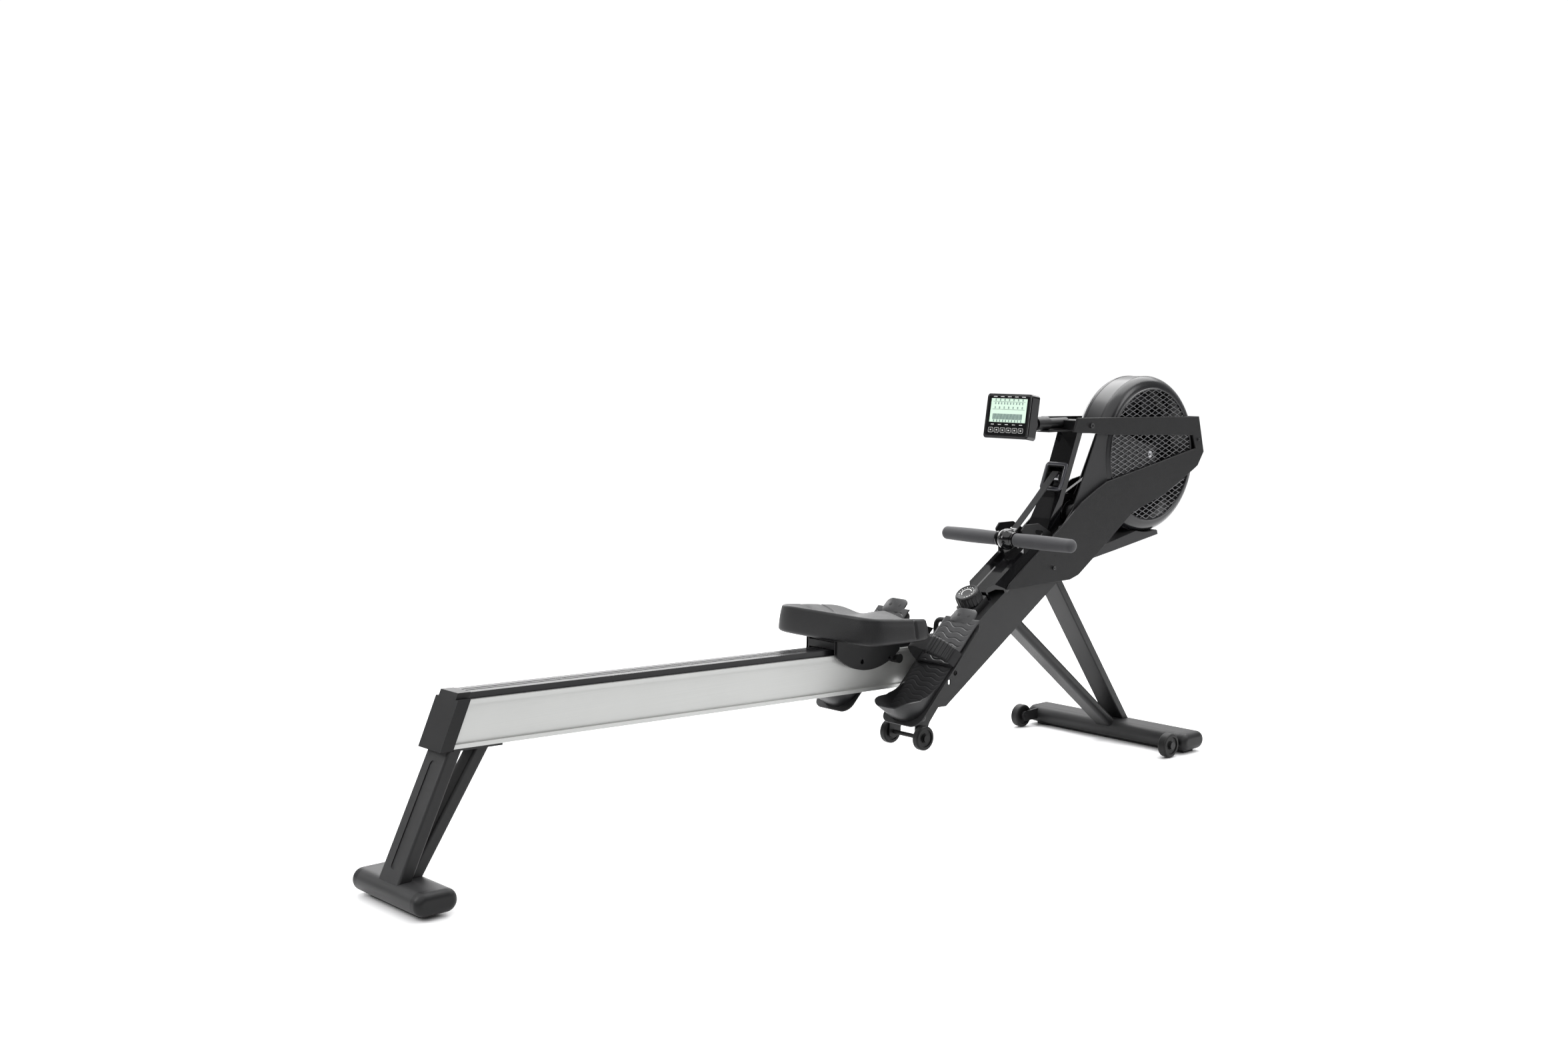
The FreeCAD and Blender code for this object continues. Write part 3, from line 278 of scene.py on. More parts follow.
def make_weave():
    """Webbing: ribs across the band and a fine thread along it, from the band's own UV map in millimetres."""
    group, source, sink = new_group(
        "webbing_weave",
        [("Color", "NodeSocketColor", (0.03, 0.03, 0.03, 1)), ("Pitch", "NodeSocketFloat", 1.6)],
        [("Color", "NodeSocketColor"), ("Roughness", "NodeSocketFloat"), ("Height", "NodeSocketFloat")])
    nodes, links = group.nodes, group.links
    place = nodes.new("ShaderNodeTexCoord")
    split = nodes.new("ShaderNodeSeparateXYZ")
    links.new(place.outputs["UV"], split.inputs[0])
    along = math_node(group, "MULTIPLY", split.outputs["X"],
                      math_node(group, "DIVIDE", 6.2832, source.outputs["Pitch"]))
    across = math_node(group, "MULTIPLY", split.outputs["Y"],
                       math_node(group, "DIVIDE", 3.1416, source.outputs["Pitch"]))
    rib = math_node(group, "SINE",
                    math_node(group, "ADD", along,
                              math_node(group, "MULTIPLY", math_node(group, "SINE", across, 0.0), 1.2)), 0.0)
    thread = math_node(group, "ABSOLUTE", math_node(group, "SINE", across, 0.0), 0.0)
    height = math_node(group, "ADD", math_node(group, "MULTIPLY", rib, 0.5), thread)
    mix = nodes.new("ShaderNodeMix")
    mix.data_type = "RGBA"
    links.new(math_node(group, "MULTIPLY", thread, 0.5), mix.inputs["Factor"])
    links.new(source.outputs["Color"], mix.inputs["A"])
    mix.inputs["B"].default_value = (0.035, 0.035, 0.037, 1)
    links.new(mix.outputs["Result"], sink.inputs["Color"])
    links.new(math_node(group, "ADD", math_node(group, "MULTIPLY", thread, 0.15), 0.7),
              sink.inputs["Roughness"])
    links.new(height, sink.inputs["Height"])
    return group


def make_brushing():
    """Drawn aluminium: long fine streaks along X and slow changes of tone."""
    group, source, sink = new_group(
        "drawn_metal",
        [("Color", "NodeSocketColor", (0.7, 0.7, 0.7, 1)), ("Roughness", "NodeSocketFloat", 0.35)],
        [("Color", "NodeSocketColor"), ("Roughness", "NodeSocketFloat"), ("Height", "NodeSocketFloat")])
    nodes, links = group.nodes, group.links
    place = nodes.new("ShaderNodeTexCoord")
    stretch = nodes.new("ShaderNodeMapping")
    stretch.inputs["Scale"].default_value = (3.0, 900.0, 900.0)
    links.new(place.outputs["Object"], stretch.inputs["Vector"])
    streak = nodes.new("ShaderNodeTexNoise")
    streak.inputs["Scale"].default_value = 1.0
    streak.inputs["Detail"].default_value = 2.0
    links.new(stretch.outputs[0], streak.inputs["Vector"])
    slow = nodes.new("ShaderNodeTexNoise")
    slow.inputs["Scale"].default_value = 5.0
    links.new(place.outputs["Object"], slow.inputs["Vector"])
    shade = nodes.new("ShaderNodeHueSaturation")
    tone = math_node(group, "MULTIPLY",
                     math_node(group, "SUBTRACT",
                               math_node(group, "ADD", streak.outputs["Fac"], slow.outputs["Fac"]), 1.0), 0.12)
    links.new(math_node(group, "ADD", tone, 1.0), shade.inputs["Value"])
    links.new(source.outputs["Color"], shade.inputs["Color"])
    links.new(shade.outputs["Color"], sink.inputs["Color"])
    links.new(math_node(group, "ADD", source.outputs["Roughness"],
                        math_node(group, "MULTIPLY", streak.outputs["Fac"], 0.1)), sink.inputs["Roughness"])
    links.new(streak.outputs["Fac"], sink.inputs["Height"])
    return group


GRAIN = make_grain()
WEAVE = make_weave()
BRUSHING = make_brushing()


def finish_of(name, group, values, metallic=0.0, coat=0.0, bump=0.3, depth=0.0002, sheen=0.0, specular=0.5):
    """Principled material fed by one of the groups."""
    material = bpy.data.materials.new(name)
    material.use_nodes = True
    tree = material.node_tree
    shader = tree.nodes["Principled BSDF"]
    shader.inputs["Metallic"].default_value = metallic
    shader.inputs["Coat Weight"].default_value = coat
    shader.inputs["Coat Roughness"].default_value = 0.08
    shader.inputs["Sheen Weight"].default_value = sheen
    shader.inputs["Specular IOR Level"].default_value = specular
    source = tree.nodes.new("ShaderNodeGroup")
    source.node_tree = group
    for label, value in values.items():
        source.inputs[label].default_value = value
    tree.links.new(source.outputs["Color"], shader.inputs["Base Color"])
    tree.links.new(source.outputs["Roughness"], shader.inputs["Roughness"])
    if bump:
        relief = tree.nodes.new("ShaderNodeBump")
        relief.inputs["Strength"].default_value = bump
        relief.inputs["Distance"].default_value = depth
        tree.links.new(source.outputs["Height"], relief.inputs["Height"])
        tree.links.new(relief.outputs["Normal"], shader.inputs["Normal"])
    return material


def grained(name, colour, roughness, scale=900.0, drift=0.15, top_light=0.0, **extra):
    values = {"Color": (*colour, 1), "Roughness": roughness, "Scale": scale, "Drift": drift, "Top Light": top_light}
    return finish_of(name, GRAIN, values, **extra)


# The sixth value of each grained finish is painted light: how far its up-facing faces are lightened, as if lit from
# above
POWDER = grained("powder_coat_black", (0.009, 0.009, 0.0095), 0.38, 1100, 0.15, 0.06, bump=0.6, depth=0.0003,
                 specular=0.3)
CHARCOAL = grained("charcoal_grained_plastic", (0.004, 0.004, 0.0045), 0.42, 900, 0.15, 0.05, bump=0.8,
                   depth=0.0004, specular=0.2)
BLACK_PLASTIC = grained("black_plastic", (0.005, 0.005, 0.0055), 0.38, 1200, 0.15, 0.05, bump=0.5, depth=0.0002,
                        specular=0.25)
CUP_PLASTIC = grained("footbed_plastic", (0.010, 0.010, 0.011), 0.36, 900, 0.15, 0.10, bump=0.4, depth=0.0002,
                      specular=0.35)
GLOSS = grained("gloss_black_plastic", (0.003, 0.003, 0.0035), 0.10, 300, 0.04, 0.01, bump=0.03, depth=0.0001,
                coat=0.3, specular=0.35)
SATIN_GREY = grained("satin_grey_plastic", (0.030, 0.030, 0.036), 0.25, 1200, 0.1, 0.0, bump=0.2, depth=0.0001)
SEAT_FOAM = grained("seat_skin_foam", (0.004, 0.004, 0.0045), 0.40, 700, 0.10, 0.10, bump=0.5, depth=0.0003,
                    specular=0.3)
GRIP_FOAM = grained("grip_foam", (0.034, 0.034, 0.037), 0.8, 1600, 0.10, 0.15, bump=0.8, depth=0.0003,
                    sheen=0.15, specular=0.3)
RUBBER = grained("black_rubber", (0.005, 0.005, 0.005), 0.45, 700, 0.2, 0.08, bump=0.4, depth=0.0002,
                 specular=0.25)
HOUSING = grained("housing_satin_black", (0.007, 0.007, 0.008), 0.24, 1500, 0.06, 0.04, bump=0.2, depth=0.0001,
                  specular=0.35)
BAND_GLOSS = grained("housing_band_gloss", (0.005, 0.005, 0.006), 0.30, 600, 0.05, 0.02, bump=0.05,
                     depth=0.0001, coat=0.05)
PLATE_GREY = grained("grey_bracket_paint", (0.014, 0.014, 0.015), 0.45, 1100, 0.10, 0.05, bump=0.5,
                     depth=0.0002, specular=0.3)
BOLT_BLACK = grained("blackened_steel", (0.020, 0.020, 0.021), 0.3, 1500, 0.1, 0.0, bump=0.1, depth=0.0001)
STEEL = finish_of("zinc_steel", BRUSHING, {"Color": (0.62, 0.62, 0.64, 1), "Roughness": 0.28}, metallic=1.0,
                  bump=0.1, depth=0.00005)
# Fan made near black: painted shade, so the inside of the housing reads dark behind the screens
FAN_METAL = finish_of("fan_metal", BRUSHING, {"Color": (0.03, 0.03, 0.032, 1), "Roughness": 0.4}, metallic=1.0,
                      bump=0.1, depth=0.00005)
SCREEN = finish_of("screen_wire", BRUSHING, {"Color": (0.20, 0.20, 0.205, 1), "Roughness": 0.25}, metallic=1.0,
                   bump=0.05, depth=0.00005)
SILVER = finish_of("satin_aluminium", BRUSHING, {"Color": (0.47, 0.475, 0.465, 1), "Roughness": 0.38},
                   metallic=0.6, bump=0.12, depth=0.00005)
TRACK = grained("track_black", (0.006, 0.006, 0.007), 0.28, 900, 0.1, 0.03, bump=0.1, depth=0.0001,
                specular=0.3)
WEBBING = finish_of("webbing_black", WEAVE, {"Color": (0.006, 0.006, 0.0065, 1), "Pitch": 1.6}, bump=0.6,
                    depth=0.0003, sheen=0.0, specular=0.3)
PRINT = grained("white_print", (0.75, 0.75, 0.74), 0.6, 900, 0.05, 0.0, bump=0.0)
DARK_PRINT = grained("display_segments", (0.10, 0.16, 0.15), 0.5, 900, 0.05, 0.0, bump=0.0)

NODE_FINISH = {
    "rail_beam": SILVER, "rail_track": TRACK, "rail_cap": BLACK_PLASTIC, "rear_legs": POWDER,
    "rear_foot_ends": BLACK_PLASTIC,
    "seat_bumpers": RUBBER, "lift_bail": POWDER, "carriage_frame": PLATE_GREY, "carriage_covers": BLACK_PLASTIC,
    "top_rollers_rear": STEEL, "top_rollers_front": STEEL, "guide_rollers_rear": STEEL,
    "guide_rollers_front": STEEL,
    "main_beam": POWDER, "frame_struts": POWDER, "stabiliser_bar": POWDER, "stabiliser_ends": BLACK_PLASTIC,
    "wheel_brackets": POWDER, "transport_wheel_left": RUBBER, "transport_wheel_right": RUBBER,
    "mid_wheels": RUBBER,
    "frame_bolts": BOLT_BLACK, "lock_pin": BLACK_PLASTIC, "foot_brackets": POWDER, "toe_plates": CUP_PLASTIC,
    "heel_cup_left": CUP_PLASTIC, "heel_cup_right": CUP_PLASTIC, "foot_straps": WEBBING, "trough_cover": GLOSS,
    "tower_cover": GLOSS, "handle_hooks": CHARCOAL, "shroud_left": CHARCOAL, "shroud_right": CHARCOAL,
    "housing_left": HOUSING, "housing_right": HOUSING, "grilles": SCREEN, "flywheel_brackets": PLATE_GREY,
    "flywheel_axle": STEEL, "flywheel_fan": FAN_METAL, "clutch_pulley": PLATE_GREY, "idler_roller": STEEL,
    "drive_pulley": BLACK_PLASTIC, "strap_spool": BLACK_PLASTIC, "magnet_caliper": PLATE_GREY,
    "inner_belts": RUBBER,
    "knob_base": BLACK_PLASTIC, "resistance_knob": GLOSS, "handle_core": GLOSS, "handle_grips": GRIP_FOAM,
    "handle_strap": WEBBING, "console_arm": BLACK_PLASTIC, "console_case": GLOSS, "display": PRINT,
    "seat_cushion": SEAT_FOAM,
}
for node_name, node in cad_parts.items():
    wanted = NODE_FINISH.get(node_name, RUBBER)
    if node.data.materials:
        for index in range(len(node.data.materials)):
            node.data.materials[index] = wanted
    else:
        node.data.materials.append(wanted)


# ------------------------------------------------------------------ seat

SEAT_MID = -0.0245
SEAT_HALF_U = 0.1075
SEAT_HALF_Y = 0.160
SEAT_LOW = 0.0345
GROOVES = (-0.040, -0.012, 0.016)


def seat_height(a, b):
    """Top of the seat for a, b from -1 to 1 along and across: a dished middle, a rim that rises at the rear and at
    both ends and falls towards the front, and a low pommel at the middle of the front."""
    rim_level = 0.0965 - 0.0085 * (a + 1.0)
    wing = eased(np.abs(b), 0.42, 0.93)
    rear = eased(-a, 0.25, 0.93)
    rim = 1.0 - (1.0 - wing) * (1.0 - rear)
    dish = 0.0665 + 0.015 * np.exp(-(b / 0.30) ** 2) * eased(a, 0.0, 0.85)
    return dish * (1.0 - rim) + rim_level * rim


def seat_surface():
    """Closed form, rows from the middle of the top over the rim and down to the middle of the underside, columns
    round a rounded rectangle. The wall spreads by a few millimetres towards its foot."""
    around = np.linspace(0, 2 * np.pi, 400, endpoint=False)
    power = 2.0 / 5.5
    ca, cb = np.cos(around), np.sin(around)
    edge_a = np.sign(ca) * np.abs(ca) ** power
    edge_b = np.sign(cb) * np.abs(cb) ** power
    inward = np.array([0.0, 0.02, 0.08, 0.16, 0.24, 0.32, 0.40, 0.48, 0.55, 0.62, 0.68, 0.74, 0.79, 0.84, 0.88,
                       0.91])
    rows = []
    for share in inward:
        a, b = share * edge_a, share * edge_b
        rows.append(rail(SEAT_MID + SEAT_HALF_U * a, SEAT_HALF_Y * b, seat_height(a, b)))
    roll = np.linspace(0, np.pi / 2, 8)[1:]
    for turn in roll:
        share = 0.91 + 0.05 * math.sin(turn)
        a, b = share * edge_a, share * edge_b
        drop = 0.009 * (1 - math.cos(turn))
        rows.append(rail(SEAT_MID + SEAT_HALF_U * a, SEAT_HALF_Y * b, seat_height(a, b) - drop))
    top_a, top_b = 0.96 * edge_a, 0.96 * edge_b
    top = seat_height(top_a, top_b) - 0.009
    for share in np.linspace(0, 1, 9)[1:]:
        v = top + (SEAT_LOW + 0.007 - top) * share
        spread = 0.96 + 0.033 * share + 0.006 * math.sin(np.pi * share)
        rows.append(rail(SEAT_MID + SEAT_HALF_U * edge_a * spread, SEAT_HALF_Y * edge_b * (spread + 0.003), v))
    for turn in np.linspace(0, np.pi / 2, 6)[1:]:
        inset = 0.007 * (1 - math.cos(turn))
        v = SEAT_LOW + 0.007 * (1 - math.sin(turn))
        a_half, b_half = SEAT_HALF_U * 0.993 - inset, SEAT_HALF_Y * 0.996 - inset
        rows.append(rail(SEAT_MID + a_half * edge_a, b_half * edge_b, v))
    for share in (0.8, 0.5, 0.02):
        rows.append(rail(SEAT_MID + SEAT_HALF_U * 0.93 * share * edge_a, SEAT_HALF_Y * 0.95 * share * edge_b,
                         SEAT_LOW))
    return np.stack(rows)


def seat_grooves(surface):
    """Three moulded grooves over each end of the seat: points near a groove's plane move in and down."""
    u = surface[..., 0]
    y = surface[..., 1]
    z = surface[..., 2]
    reach = eased(np.abs(y), 0.088, 0.112) * (z > RAIL_TOP + 0.042)
    for centre in GROOVES:
        depth = 0.0046 * np.exp(-((u - centre) / 0.0026) ** 2) * reach
        wall = eased(np.abs(y), 0.148, 0.156)
        surface[..., 1] -= np.sign(y) * depth * wall
        surface[..., 2] -= depth * (1 - 0.8 * wall)
    return surface


seat_shape = Shape()
seat_shape.grid(seat_grooves(seat_surface()), wrap_columns=True, ends=True)
seat = add_piece("seat_pad", seat_shape, SEAT_FOAM, "seat", ("seat_cushion",), smooth=180)


# ------------------------------------------------------------------ flywheel housing and its screens

OPEN_FROM, OPEN_TO = math.radians(160.8), math.radians(211.4)


def turned_part(profile, steps, centre):
    """Outline (r, y) turned about the Y axis from the lower to the upper end of the drum's open side."""
    angle = np.linspace(OPEN_TO, OPEN_FROM + 2 * np.pi, steps)[:, None]
    r, y = profile[None, :, 0], profile[None, :, 1]
    return np.stack([centre[0] + r * np.cos(angle), y + 0 * angle, centre[1] + r * np.sin(angle)], -1)


def housing_shells():
    """Three turned shells round the flywheel: a smooth band between two ring shells, with a shadow gap at each seam."""
    radius, half, seam = 0.198, 0.0530, 0.0255
    bend = np.linspace(0, np.pi / 2, 12)
    rings = []
    for side in (-1, 1):
        outer = [(radius, side * (seam + 0.0012)), (radius, side * (half - 0.030))]
        outer += [(radius - 0.027 * (1 - math.cos(t)),
                   side * (half - 0.030 + 0.027 * math.sin(t))) for t in bend[1:]]
        outer += [(0.1685, side * (half - 0.0022)), (0.1672, side * half), (0.1655, side * half),
                  (0.1642, side * (half - 0.001))]
        inner = [(0.1642, side * (half - 0.006)), (0.170, side * (half - 0.006)),
                 (radius - 0.004, side * 0.026), (radius - 0.004, side * (seam + 0.0012))]
        rings.append(np.array((outer + inner)[::side]))
    groove = 0.0008
    band = [(radius - 0.004, -seam), (radius - 0.0015, -seam), (radius - 0.0006, -seam + groove),
            (radius - 0.0004, -0.012),
            (radius - 0.0002, 0.0), (radius - 0.0004, 0.012), (radius - 0.0006, seam - groove),
            (radius - 0.0015, seam), (radius - 0.004, seam)]
    return rings, np.array(band)


ring_outlines, band_outline = housing_shells()
near_shell = Shape().grid(turned_solid(ring_outlines[0], 160, FLY), wrap_rows=True, wrap_columns=True)
add_piece("housing_ring_right", near_shell, HOUSING, "frame", ("housing_right",), smooth=40)
far_shell = Shape().grid(turned_part(ring_outlines[1], 140, FLY), wrap_columns=True, ends=True)
add_piece("housing_ring_left", far_shell, HOUSING, "frame", ("housing_left",), smooth=40)
band_shape = Shape().grid(turned_part(band_outline, 140, FLY), wrap_columns=True, ends=True)
add_piece("housing_band", band_shape, BAND_GLOSS, "frame", (), smooth=40)


def screen_wires(side):
    """Woven diamond screen: two families of flat wires at plus and minus 23 degrees, each a ribbon that rides up and
    down by the wire's thickness between crossings, cut to the circle of the housing's mouth."""
    shape = Shape()
    radius, pitch, half_width, thick = 0.1660, 0.0120, 0.00085, 0.0008
    level = side * 0.0497
    for family, lean in enumerate((math.radians(23), math.radians(-23))):
        along = np.array([math.cos(lean), math.sin(lean)])
        across = np.array([-math.sin(lean), math.cos(lean)])
        for offset in np.arange(-13, 14) * pitch:
            reach = math.sqrt(max(0.0, radius ** 2 - offset ** 2))
            if reach < 0.012:
                continue
            count = max(4, int(2 * reach / 0.0070))
            run = np.linspace(-reach, reach, count)
            if side > 0:
                # On the left the screen stops short of the drum's open side
                edge_x = FLY[0] + offset * across[0] + run * along[0] - 0.804
                edge_z = FLY[1] + offset * across[1] + run * along[1] - 0.600
                run = run[edge_x > 0.497 * edge_z]
                if len(run) < 3:
                    continue
            wave = 0.0009 * np.cos(np.pi * run / 0.0146 + math.pi * family) + level
            line = offset * across[None, :] + run[:, None] * along[None, :]
            corners = ((-half_width, -thick), (half_width, -thick), (half_width, thick), (-half_width, thick))
            columns = []
            for w, h in corners:
                x = FLY[0] + line[:, 0] + w * across[0]
                z = FLY[1] + line[:, 1] + w * across[1]
                columns.append(np.stack([x, wave + h, z], -1))
            shape.grid(np.stack(columns, 1), wrap_columns=True, flip=True, ends=True)
    return shape


for side_name, side in (("left", 1), ("right", -1)):
    replaced = ("grilles",) if side > 0 else ()
    screen_shape = screen_wires(side)
    add_piece("screen_" + side_name, screen_shape, SCREEN, "frame", replaced, smooth=30)


# ------------------------------------------------------------------ console

def flat_patch(shape, outline, depth, at_y, at_z, lift):
    """Thin raised print on the console's face: an outline (y, z) with a small thickness."""
    front = face(np.full(len(outline), -lift), at_y + outline[:, 0], at_z + outline[:, 1])
    back = face(np.full(len(outline), depth), at_y + outline[:, 0], at_z + outline[:, 1])
    shape.grid(np.stack([front, back]), wrap_columns=True, flip=True, ends=True)


def frame_patch(shape, half_y, half_z, radius, width, at_y, at_z, lift):
    """Outline of a rounded rectangle, as a closed ribbon of the given width."""
    outer = rounded_box_outline(half_y, half_z, radius, 5)
    inner = rounded_box_outline(half_y - width, half_z - width, radius - width * 0.9, 5)
    rows = []
    for outline, level in ((outer, -lift), (inner, -lift), (inner, 0.0004), (outer, 0.0004)):
        rows.append(face(np.full(len(outline), level), at_y + outline[:, 0], at_z + outline[:, 1]))
    shape.grid(np.stack(rows), wrap_rows=True, wrap_columns=True)


BUTTON_PLACES = [0.0187 * (2.5 - number) for number in range(6)]
dot = rounded_box_outline(0.0020, 0.0011, 0.0005, 3)
for number, place in enumerate(BUTTON_PLACES):
    ring = Shape()
    frame_patch(ring, 0.0074, 0.0059, 0.0025, 0.0005, place, -0.034, 0.00135)
    flat_patch(ring, dot, 0.0004, place, -0.034, 0.00135)
    add_piece("button_print_%d" % (number + 1), ring, PRINT, "button_%d" % (number + 1), (),
              smooth=30)

labels = Shape()
for place in np.linspace(0.044, -0.044, 5):
    flat_patch(labels, rounded_box_outline(0.0058, 0.0007, 0.0005, 3), 0.0004, place, 0.0462, 0.0002)
    flat_patch(labels, rounded_box_outline(0.0048, 0.0006, 0.0004, 3), 0.0004, place, -0.0205, 0.0002)
add_piece("console_labels", labels, PRINT, "console", (), smooth=30)


def display_material():
    """Reflective display: pale green-grey with slight random drifts of tone, under a clear cover."""
    return finish_of("display_green", GRAIN,
                     {"Color": (0.62, 0.79, 0.66, 1), "Roughness": 0.25, "Scale": 400.0, "Drift": 0.06,
                      "Top Light": 0.0}, bump=0.0, coat=0.5)


LCD = display_material()
for index in range(len(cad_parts["display"].data.materials)):
    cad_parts["display"].data.materials[index] = LCD
segments = Shape()
for bar in range(24):
    flat_patch(segments, rounded_box_outline(0.0013, 0.0068, 0.0002, 2), 0.0004, 0.0455 - bar * 0.00385,
               0.0085 - 0.010, -0.0006)
for row, level in enumerate((0.0385, 0.0300, 0.0200, -0.0118)):
    if row in (0, 2, 3):
        flat_patch(segments, rounded_box_outline(0.050, 0.0003, 0.0002, 2), 0.0004, 0.0, level - 0.0042,
                   -0.0006)
    for column in np.linspace(0.042, -0.042, 10 if row % 2 else 7):
        for part in range(2):
            flat_patch(segments, rounded_box_outline(0.0018, 0.0009, 0.0003, 2), 0.0004, column,
                       level - 0.0012 + part * 0.0026, -0.0006)
add_piece("display_marks", segments, DARK_PRINT, "console", (), smooth=30)


def console_rim():
    """Raised bevelled rim round the display and buttons: a rounded band that follows the case's outline."""
    shape = Shape()
    rows = []
    for half_y, half_z, radius, level in ((0.0665, 0.0505, 0.006, 0.0000), (0.0655, 0.0495, 0.006, -0.0012),
                                          (0.0640, 0.0480, 0.005, -0.0012), (0.0630, 0.0470, 0.004, 0.0004)):
        outline = rounded_box_outline(half_y, half_z, radius, 6)
        rows.append(face(np.full(len(outline), level), outline[:, 0], outline[:, 1] + 0.0))
    shape.grid(np.stack(rows), wrap_rows=True, wrap_columns=True)
    return shape


add_piece("console_rim", console_rim(), BLACK_PLASTIC, "console", (), smooth=30)


# ------------------------------------------------------------------ handle and its strap

HANDLE = (0.490, 0.543)


def grip_profile(side):
    """Foam sleeve: slightly fuller at the middle of its length, with a rounded blind end."""
    start, end, radius = 0.0262, 0.2045, 0.0173
    run = np.linspace(start, end - 0.012, 30)
    share = (run - start) / (end - start)
    swell = radius - 0.0012 + 0.0012 * np.sin(np.pi * np.clip(share * 1.1, 0, 1))
    points = [(0.0112, start), (swell[0] - 0.002, start), (swell[0], start + 0.002)]
    points += list(zip(swell[1:], run[1:]))
    points += [(swell[-1] * math.cos(t) ** 0.8,
                end - 0.012 + 0.012 * math.sin(t)) for t in np.linspace(0, 1.45, 10)[1:]]
    points += [(0.0008, end)]
    points += [(0.0008, end - 0.003), (0.0112, end - 0.004)]
    return np.array(points) * np.array([1, side])


grips = Shape()
for side in (-1, 1):
    grips.grid(turned_solid(grip_profile(side)[::side], 56, HANDLE), wrap_rows=True, wrap_columns=True)
add_piece("handle_foam", grips, GRIP_FOAM, "handle", ("handle_grips",), smooth=50)


def hub_profile():
    """Ball hub with a stepped collar on each side and a fine parting line at its middle."""
    ball = [(0.0258 * math.cos(t), 0.0240 * math.sin(t)) for t in np.linspace(-0.98, 0.98, 31)]
    ball[15] = (0.0252, 0.0)
    left = [(0.0105, -0.0262), (0.0180, -0.0262), (0.0188, -0.0254), (0.0188, -0.0222), (0.0176, -0.0214),
            (0.0146, -0.0203)]
    return np.array(left + ball + [(r, -y) for r, y in left[::-1]])


hub = Shape().grid(turned_solid(hub_profile(), 64, HANDLE), wrap_rows=True, wrap_columns=True)
# Short clevis in front of the hub that takes the strap
strap_rise = math.atan2(0.689 - HANDLE[1], 0.6575 - HANDLE[0])
clevis_outline = rounded_box_outline(0.0125, 0.0045, 0.002, 4)
reach = np.array([0.012, 0.0225, 0.029, 0.0335, 0.034])
taper = np.array([1.0, 1.0, 0.96, 0.88, 0.80])
rows = []
for distance, size in zip(reach, taper):
    rows.append(climbing(HANDLE[0], HANDLE[1], strap_rise, np.full(len(clevis_outline), distance),
                         clevis_outline[:, 0] * size, clevis_outline[:, 1] * size))
hub.grid(np.stack(rows), wrap_columns=True, flip=True, ends=True)
add_piece("handle_hub", hub, GLOSS, "handle", ("handle_core",), smooth=40)


def band_shape(centre, normal, widthwise, half_width, thickness, edge=0.0005):
    """Webbing: a flat rounded outline carried along a line. centre and normal are arrays along the line."""
    outline = np.array([(-half_width, 0), (-half_width + edge, thickness / 2), (-half_width / 2, thickness / 2),
                        (0, thickness / 2), (half_width / 2, thickness / 2),
                        (half_width - edge, thickness / 2), (half_width, 0),
                        (half_width - edge, -thickness / 2), (half_width / 2, -thickness / 2),
                        (0, -thickness / 2), (-half_width / 2, -thickness / 2),
                        (-half_width + edge, -thickness / 2)])
    sideways = centre[:, None, :] + outline[None, :, 0:1] * widthwise[:, None, :]
    return sideways + outline[None, :, 1:2] * normal[:, None, :], outline


def band_mesh(name, centre, normal, widthwise, half_width, thickness):
    """Band with a UV map in millimetres: x along it, y across it."""
    surface, outline = band_shape(centre, normal, widthwise, half_width, thickness)
    shape = Shape().grid(surface, wrap_columns=True, flip=False, ends=True)
    data = shape.mesh(name)
    run = np.concatenate([[0], np.cumsum(np.linalg.norm(np.diff(centre, axis=0), axis=1))]) * 1000
    along = np.repeat(run, len(outline))
    across = np.tile(outline[:, 0] * 1000, len(run))
    uv = data.uv_layers.new(name="band")
    index = np.empty(len(data.loops), int)
    data.loops.foreach_get("vertex_index", index)
    uv.data.foreach_set("uv", np.stack([along[index], across[index]], -1).ravel())
    return data


rise_vector = np.array([math.cos(strap_rise), 0, math.sin(strap_rise)])
start_point = np.array([HANDLE[0], 0, HANDLE[1]]) + rise_vector * 0.0325
end_point = np.array([0.6600, 0, 0.6905])
line, pull_length = smooth_path([start_point, (start_point + end_point) / 2 + np.array([0, 0, -0.0015]),
                                 end_point, end_point + np.array([0.008, 0, 0.0025]),
                                 end_point + np.array([0.015, 0, -0.004])], 60)
tangent = np.gradient(line, axis=0)
tangent /= np.linalg.norm(tangent, axis=1, keepdims=True)
sideways = np.tile([0.0, 1.0, 0.0], (60, 1))
upright = np.cross(tangent, sideways)
pull_data = band_mesh("pull_strap", line, upright, sideways, 0.0105, 0.0022)
pull_strap = add_piece("pull_strap", pull_data, WEBBING, None, ("handle_strap",), smooth=60)
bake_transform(pull_strap)


# ------------------------------------------------------------------ tower bezel

def tower_bezel():
    """Rounded frame round the strap's opening, on the tower's face: a soft-edged section carried round a rectangle."""
    turn = math.radians(67.5)
    section = ((0.0000, 0.0002), (-0.0022, 0.0045), (-0.0012, 0.0066), (0.0012, 0.0074), (0.0040, 0.0074),
               (0.0066, 0.0064), (0.0080, 0.0040), (0.0084, 0.0002))
    rows = []
    for inset, lift in section:
        outline = rounded_box_outline(0.0345 - inset, 0.0325 - inset, max(0.009 - inset * 0.7, 0.003), 8)
        rows.append(climbing(0.672, 0.680, turn, outline[:, 0], outline[:, 1], 0.0088 + lift))
    return Shape().grid(np.stack(rows), wrap_rows=True, wrap_columns=True, flip=True)


add_piece("tower_bezel", tower_bezel(), SATIN_GREY, "frame", (), smooth=50)


# ------------------------------------------------------------------ resistance knob

